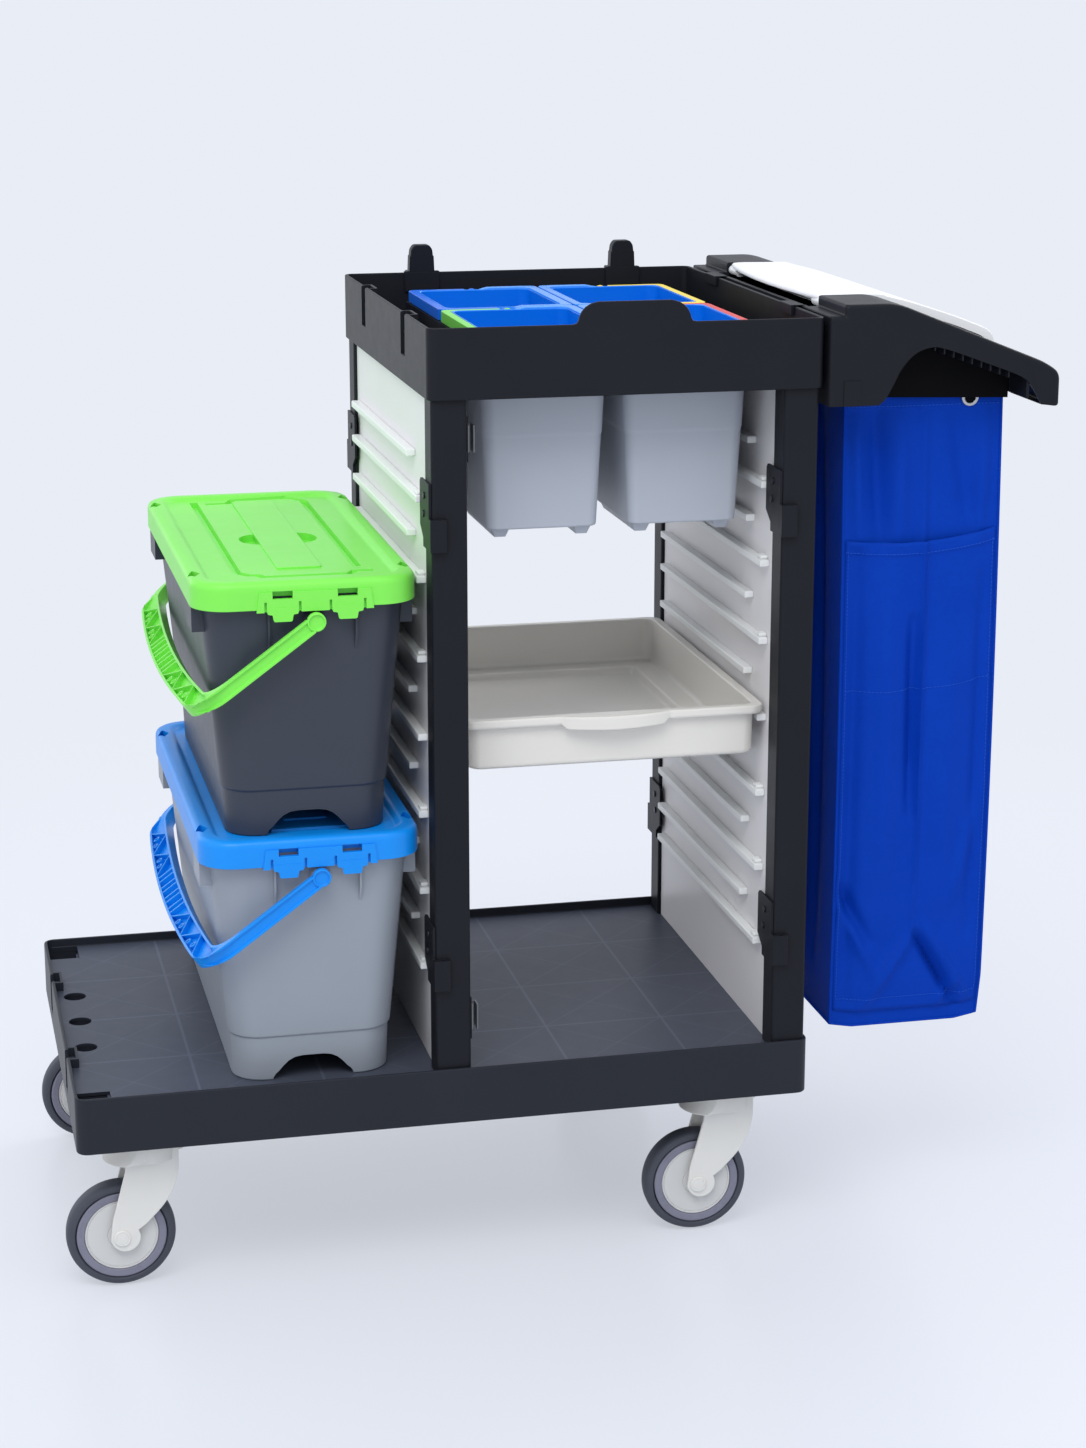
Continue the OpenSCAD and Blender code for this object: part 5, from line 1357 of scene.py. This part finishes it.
def bag_point(wall, s, v, out=0.0):
    """A point of the bag's outer face, in millimetres on the cart."""
    along, normal, half, deep = WALLS[wall]
    narrow = 1 - 0.02 * max(0, v - 0.93) / 0.07
    stand = deep * narrow + fold_height(wall, s, v) + out
    corner = max(0, abs(s) - 0.7) / 0.3 if wall in ("front", "back") else 1
    low = BAG_LOW + CORNER_LIFT * corner * max(0, v - 0.9) / 0.1
    middle = Vector((BAG_X + SWAY * math.sin(math.pi * v * 0.9), BAG_Y, BAG_TOP + (low - BAG_TOP) * v))
    return middle + along * (s * half * narrow) + normal * stand


def bag_ring(v):
    ring = []
    for wall in WALLS:
        count = ACROSS if wall in ("front", "back") else ALONG
        for k in range(count):
            ring.append(bag_point(wall, -1 + 2 * k / count, v, HEM_OUT if v < HEM else 0.0))
    return ring


bag_rows = sorted([k / DOWN for k in range(DOWN + 1)] + [HEM - HEM_EDGE, HEM + HEM_EDGE])
bag_rings = [bag_ring(v) for v in bag_rows]
floor_ring = bag_rings[-1]
for share in (0.94, 0.6, 0.3):
    centre = Vector((BAG_X, BAG_Y, 0))
    scale = Vector((share, share, 1))
    bag_rings.append([(p - centre) * scale + centre + Vector((0, 0, 1.5)) for p in floor_ring])
bag = loft(bag_rings)
top_cap = max(bag.faces, key=lambda f: f.calc_center_median().z)
bmesh.ops.delete(bag, geom=[top_cap], context="FACES_ONLY")
print("bag rows", len(bag_rows), "faces", len(bag.faces))

# %% [markdown]
# Cloth has a thickness at its hem, so the shell is given one. The finish is a plain weave: two fine waves
# crossing at right angles, one along each thread, with slow dyeing clouds and a soft sheen.


# %% Cloth finish
def cloth(name, colour, thread=0.9):
    finish, wire, sockets, where = start_finish(name, "bag_cloth")
    x, y, z = wire.split(where)
    pitch = 2 * math.pi / (thread * mm)
    weave = wire.sum("SINE", (x + y) * pitch) * wire.sum("SINE", z * pitch)
    dye = wire.noise(where, 14.0, 4.0, 0.6)
    slub = wire.noise(where, 220.0, 2.0)
    share = 0.5 * dye + 0.35 * slub + 0.06 * weave
    tint = wire.blend(share, shade(colour, 0.84), shade(colour, 1.14, 0.004))
    join_finish(wire, sockets, tint, 0.5 + 0.16 * dye, weave + 0.5 * slub, 0.16)
    sockets["Specular IOR Level"].default_value = 0.05
    sockets["Sheen Weight"].default_value = 0.01
    sockets["Sheen Roughness"].default_value = 0.4
    sockets["Sheen Tint"].default_value = (0.55, 0.7, 1.0, 1)
    return finish


def thicken(thing, thickness):
    """Gives a sheet of cloth its thickness."""
    layer = thing.modifiers.new("cloth_wall", "SOLIDIFY")
    layer.thickness = thickness * mm
    layer.offset = -1
    apply_modifiers(thing)


BAG_CLOTH = cloth("bag_cloth", (0, 58, 172))
BAG_THREAD = cloth("bag_thread", (38, 92, 205), thread=0.4)
bag_shell = make("bag_shell", bag, BAG_CLOTH, node="waste_bag", smooth=60)
thicken(bag_shell, 1.4)
print("bag shell faces", len(bag_shell.data.polygons))

# %% [markdown]
# The pocket is a second cloth on the front wall. It is sewn down at its sides and bottom, and its mouth sags
# open a little. A strip along the mouth is a double layer.

# %% Pocket
POCKET_ROWS, POCKET_COLUMNS = 110, 60
MOUTH, POCKET_LOW, POCKET_WIDE, MOUTH_HEM = 0.229, 0.975, 0.965, 0.028


def pocket_point(s, t, out=0.0):
    """A point of the pocket: s goes across from -1 to 1, t down from its mouth to its bottom."""
    mouth = MOUTH + 0.010 * (1 - s * s) - 0.006 * s
    stand = 0.7 + (2.2 + 5.0 * (1 - s * s) * math.exp(-t / 0.05)) * (1 - abs(s) ** 6)
    if t < MOUTH_HEM:
        stand += 0.6
    return bag_point("front", s * POCKET_WIDE, mouth + (POCKET_LOW - mouth) * t, stand + out)


pocket = bmesh.new()
hem_rows = [MOUTH_HEM - 0.001, MOUTH_HEM + 0.0005]
pocket_rows = sorted([k / POCKET_ROWS for k in range(POCKET_ROWS + 1)] + hem_rows)
columns = [-1 + 2 * k / POCKET_COLUMNS for k in range(POCKET_COLUMNS + 1)]
grid = [[pocket.verts.new(pocket_point(s, t)) for s in columns] for t in pocket_rows]
for low, high in zip(grid, grid[1:]):
    for k in range(POCKET_COLUMNS):
        pocket.faces.new((high[k], high[k + 1], low[k + 1], low[k]))
pocket_cloth = make("bag_pocket", pocket, BAG_CLOTH, smooth=60)
thicken(pocket_cloth, 1.2)

# %% [markdown]
# Cords of piping stiffen the bag's upright seams and its bottom edge, and lines of stitches hold the hem,
# the pocket and the bar across it.

# %% Piping and stitches
SEAM_STEPS, STITCH_STEPS, SIDE_STEPS, STITCH_OUT = 90, 40, 60, 0.3
STITCH_PITCH, STITCH_LONG, STITCH_R = 4.2, 2.7, 0.42


def cord_along(points, r, sides=8):
    """A thin round cord along a line of points."""
    rings = []
    turns = [2 * math.pi * s / sides for s in range(sides)]
    for before, here, after in zip(points[:1] + points, points, points[1:] + points[-1:]):
        ahead = (after - before).normalized()
        across = ahead.orthogonal().normalized() if abs(ahead.z) < 0.9 else Vector((1, 0, 0))
        other = ahead.cross(across).normalized()
        across = other.cross(ahead)
        rings.append([here + (across * math.cos(a) + other * math.sin(a)) * r for a in turns])
    return loft(rings)


def stitches(line):
    """Short raised threads along a line of points on the cloth."""
    made = []
    for a, b in zip(line, line[1:]):
        count = max(1, round((b - a).length / STITCH_PITCH))
        for k in range(count):
            ends = [a.lerp(b, (k + 0.15 + share) / count) for share in (0, STITCH_LONG / STITCH_PITCH)]
            made.append(cord_along(ends, STITCH_R, 5))
    return made


def even_steps(low, high, count):
    return [low + (high - low) * k / count for k in range(count + 1)]


piping = []
for wall in WALLS:
    piping.append(cord_along([bag_point(wall, 1, v) for v in even_steps(0.012, 0.998, SEAM_STEPS)], 1.7))
edge_ring = [p + Vector((0, 0, 1.0)) for p in floor_ring]
piping.append(cord_along(edge_ring + edge_ring[:1], 1.6))
bag_piping = make("bag_piping", merge(*piping), BAG_CLOTH, smooth=60)
threads = []
for wall in WALLS:
    hem = even_steps(-0.97, 0.97, STITCH_STEPS)
    threads += stitches([bag_point(wall, s, HEM - 0.004, 1.1) for s in hem])
# Each line across the pocket: half its width, its place at the left and at the right.
for half, left, right in ((1, 0.024, 0.024), (0.98, 0.31, 0.304), (0.97, 0.972, 0.972)):
    places = zip(even_steps(-half, half, STITCH_STEPS), even_steps(left, right, STITCH_STEPS))
    threads += stitches([pocket_point(s, t, STITCH_OUT) for s, t in places])
for s in (-0.965, 0.965):
    threads += stitches([pocket_point(s, t, STITCH_OUT) for t in even_steps(0.02, 0.97, SIDE_STEPS)])
bag_stitches = make("bag_stitches", merge(*threads), BAG_THREAD, smooth=80)
print("stitches", len(threads))

# %% [markdown]
# A steel eyelet sits in the hem at the front and the back. Its hole is a disc of painted shade in the ring.

# %% Eyelets
EYELET_X, EYELET_Z, EYELET_Y = 1044, 988.2, BAG_L / 2 + 2
EYELET_RING = [(6.2, -1.6), (6.2, 1.4), (6.9, 2.2), (8.3, 2.5), (9.8, 2), (10.5, 1), (10.5, -1.6)]
EYELET_HOLE_SHADE = [(1, -1), (6.3, -1), (6.3, 0.3), (1, 0.3)]


def eyelet_pair(profile):
    ring = turned([(r, EYELET_Y + y) for r, y in profile], "y", 40, joined=True)
    return shift(merge(*copies(ring, "y")), EYELET_X, BAG_Y, EYELET_Z)


make("bag_eyelet_rings", eyelet_pair(EYELET_RING), ZINC, node="bag_eyelets", smooth=60)
# painted shade: a near-black disc in each eyelet stands for the shade in its hole
make("bag_eyelet_hole_shade", eyelet_pair(EYELET_HOLE_SHADE), SHADE_BLACK)

# %% [markdown]
# ## The rest of the frame
#
# The posts, panels, brackets and small steel parts already have their true shape as solids. Each gets its
# softened copy and its finish, and the width of the rounding follows the size of the piece.

# %% Soften the frame
COATS = {
    "door_brackets": (BLACK, 0.4), "bag_rail": (BLACK, 0.8), "bag_hanger": (BLACK, 0.8),
    "left_panel": (PALE, 0.6), "right_panel": (PALE, 0.6),
    "left_runners": (RUNNER, 1.2), "right_runners": (RUNNER, 1.2),
    "door_catches": (CATCH, 0.4), "caster_plates": (ZINC, 0.5), "caster_bolts": (ZINC, 0.4),
    "bracket_screws": (DARK_STEEL, 0.3), "lid_hinge_rod": (ZINC, 0.3),
}
for corner in CORNERS:
    COATS["post_" + corner] = (BLACK, 1.0)
for node, (finish, edge) in COATS.items():
    soften(node, finish, edge)
print("softened", len(COATS))

# %% [markdown]
# ## The studio
#
# The photograph has one pale tone from the floor to the top of the picture. The world shows that tone to
# the camera and to reflections, and lights the cart with a plain level of its own. The floor is a soft,
# slightly glossy sheet that keeps the cart's shadow, and away from the cart it fades into the same tone, so
# no horizon shows.

# %% Floor and world
BACKDROP, WORLD_LIGHT, FLOOR_TONE = shade((233, 237, 246)), shade((238, 241, 248)), shade((221, 225, 233))
FLOOR_HALF = 9
# The fade: where it starts and ends, in metres from the middle, and its strength at both places.
FADE = {1: 0.7, 2: 2.6, 3: 0.55, 4: 1.0}


def seen_directly(wire):
    """One for the camera's own rays and for what shows in reflections, nought for light on its way."""
    ways = [wire.node("LightPath", out=f"Is {way} Ray") for way in ("Camera", "Glossy", "Transmission")]
    return wire.sum("MINIMUM", ways[0] + ways[1] + ways[2], 1)


floor_mesh = bpy.data.meshes.new("floor")
corners = [(x * FLOOR_HALF, y * FLOOR_HALF, 0) for x, y in ((-1, -1), (1, -1), (1, 1), (-1, 1))]
floor_mesh.from_pydata(corners, [], [(0, 1, 2, 3)])
add_object("floor", floor_mesh)
finish, wire, sockets, where = start_finish("studio_floor", "stage")
sockets["Base Color"].default_value = FLOOR_TONE
sockets["Roughness"].default_value = 0.28
away = wire.node("VectorMath", {0: where}, "Value", operation="LENGTH")
fade = wire.node("MapRange", {"Value": away, **FADE}, interpolation_type="SMOOTHSTEP")
matt = Wire(wire.tree, wire.tree.nodes["Principled BSDF"].outputs[0])
glow = wire.node("Emission", {"Color": BACKDROP, "Strength": 1.0})
mixed = wire.node("MixShader", {0: fade * seen_directly(wire), 1: matt, 2: glow})
mixed.into(wire.tree.nodes["Material Output"].inputs["Surface"])
floor_mesh.materials.append(finish)

world = bpy.data.worlds.new("studio")
bpy.context.scene.world = world
world.use_nodes = True
wire = Wire(world.node_tree)
light = wire.node("Background", {"Color": WORLD_LIGHT, "Strength": 1.0})
shown = wire.node("Background", {"Color": BACKDROP, "Strength": 1.0})
mixed = wire.node("MixShader", {0: seen_directly(wire), 1: light, 2: shown})
mixed.into(wire.tree.nodes["World Output"].inputs["Surface"])
print("floor and world ready")

# %% [markdown]
# A broad lamp above the front gives the cart its shape, a weaker one from the bucket end lifts the sides,
# one from behind shines into the tower, and the last draws the bright lines along the upper edges.


# %% Lamps
def lamp(name, place, target, size, watts):
    light = bpy.data.lights.new(name, "AREA")
    light.shape = "RECTANGLE"
    light.size, light.size_y = size
    light.energy = watts
    thing = add_object(name, light)
    thing.location = place
    thing.rotation_euler = (Vector(target) - Vector(place)).to_track_quat("-Z", "Y").to_euler()


lamp("key", (-1.1, -2.4, 3.6), (0, 0, 0.6), (2.6, 1.8), 70)
lamp("fill", (-3.4, -0.6, 1.6), (0, 0, 0.6), (1.8, 1.8), 4)
lamp("back", (-2.2, 3.0, 1.5), (0.1, 0, 0.6), (1.8, 1.8), 12)
lamp("rim", (2.4, 1.8, 2.8), (0, 0, 0.7), (1.6, 1.6), 32)
bpy.context.scene.view_settings.view_transform = "Standard"
print("studio lit")

# %% [markdown]
# ## The end
#
# The scene is brought up to date.

# %% Update the scene
bpy.context.view_layer.update()
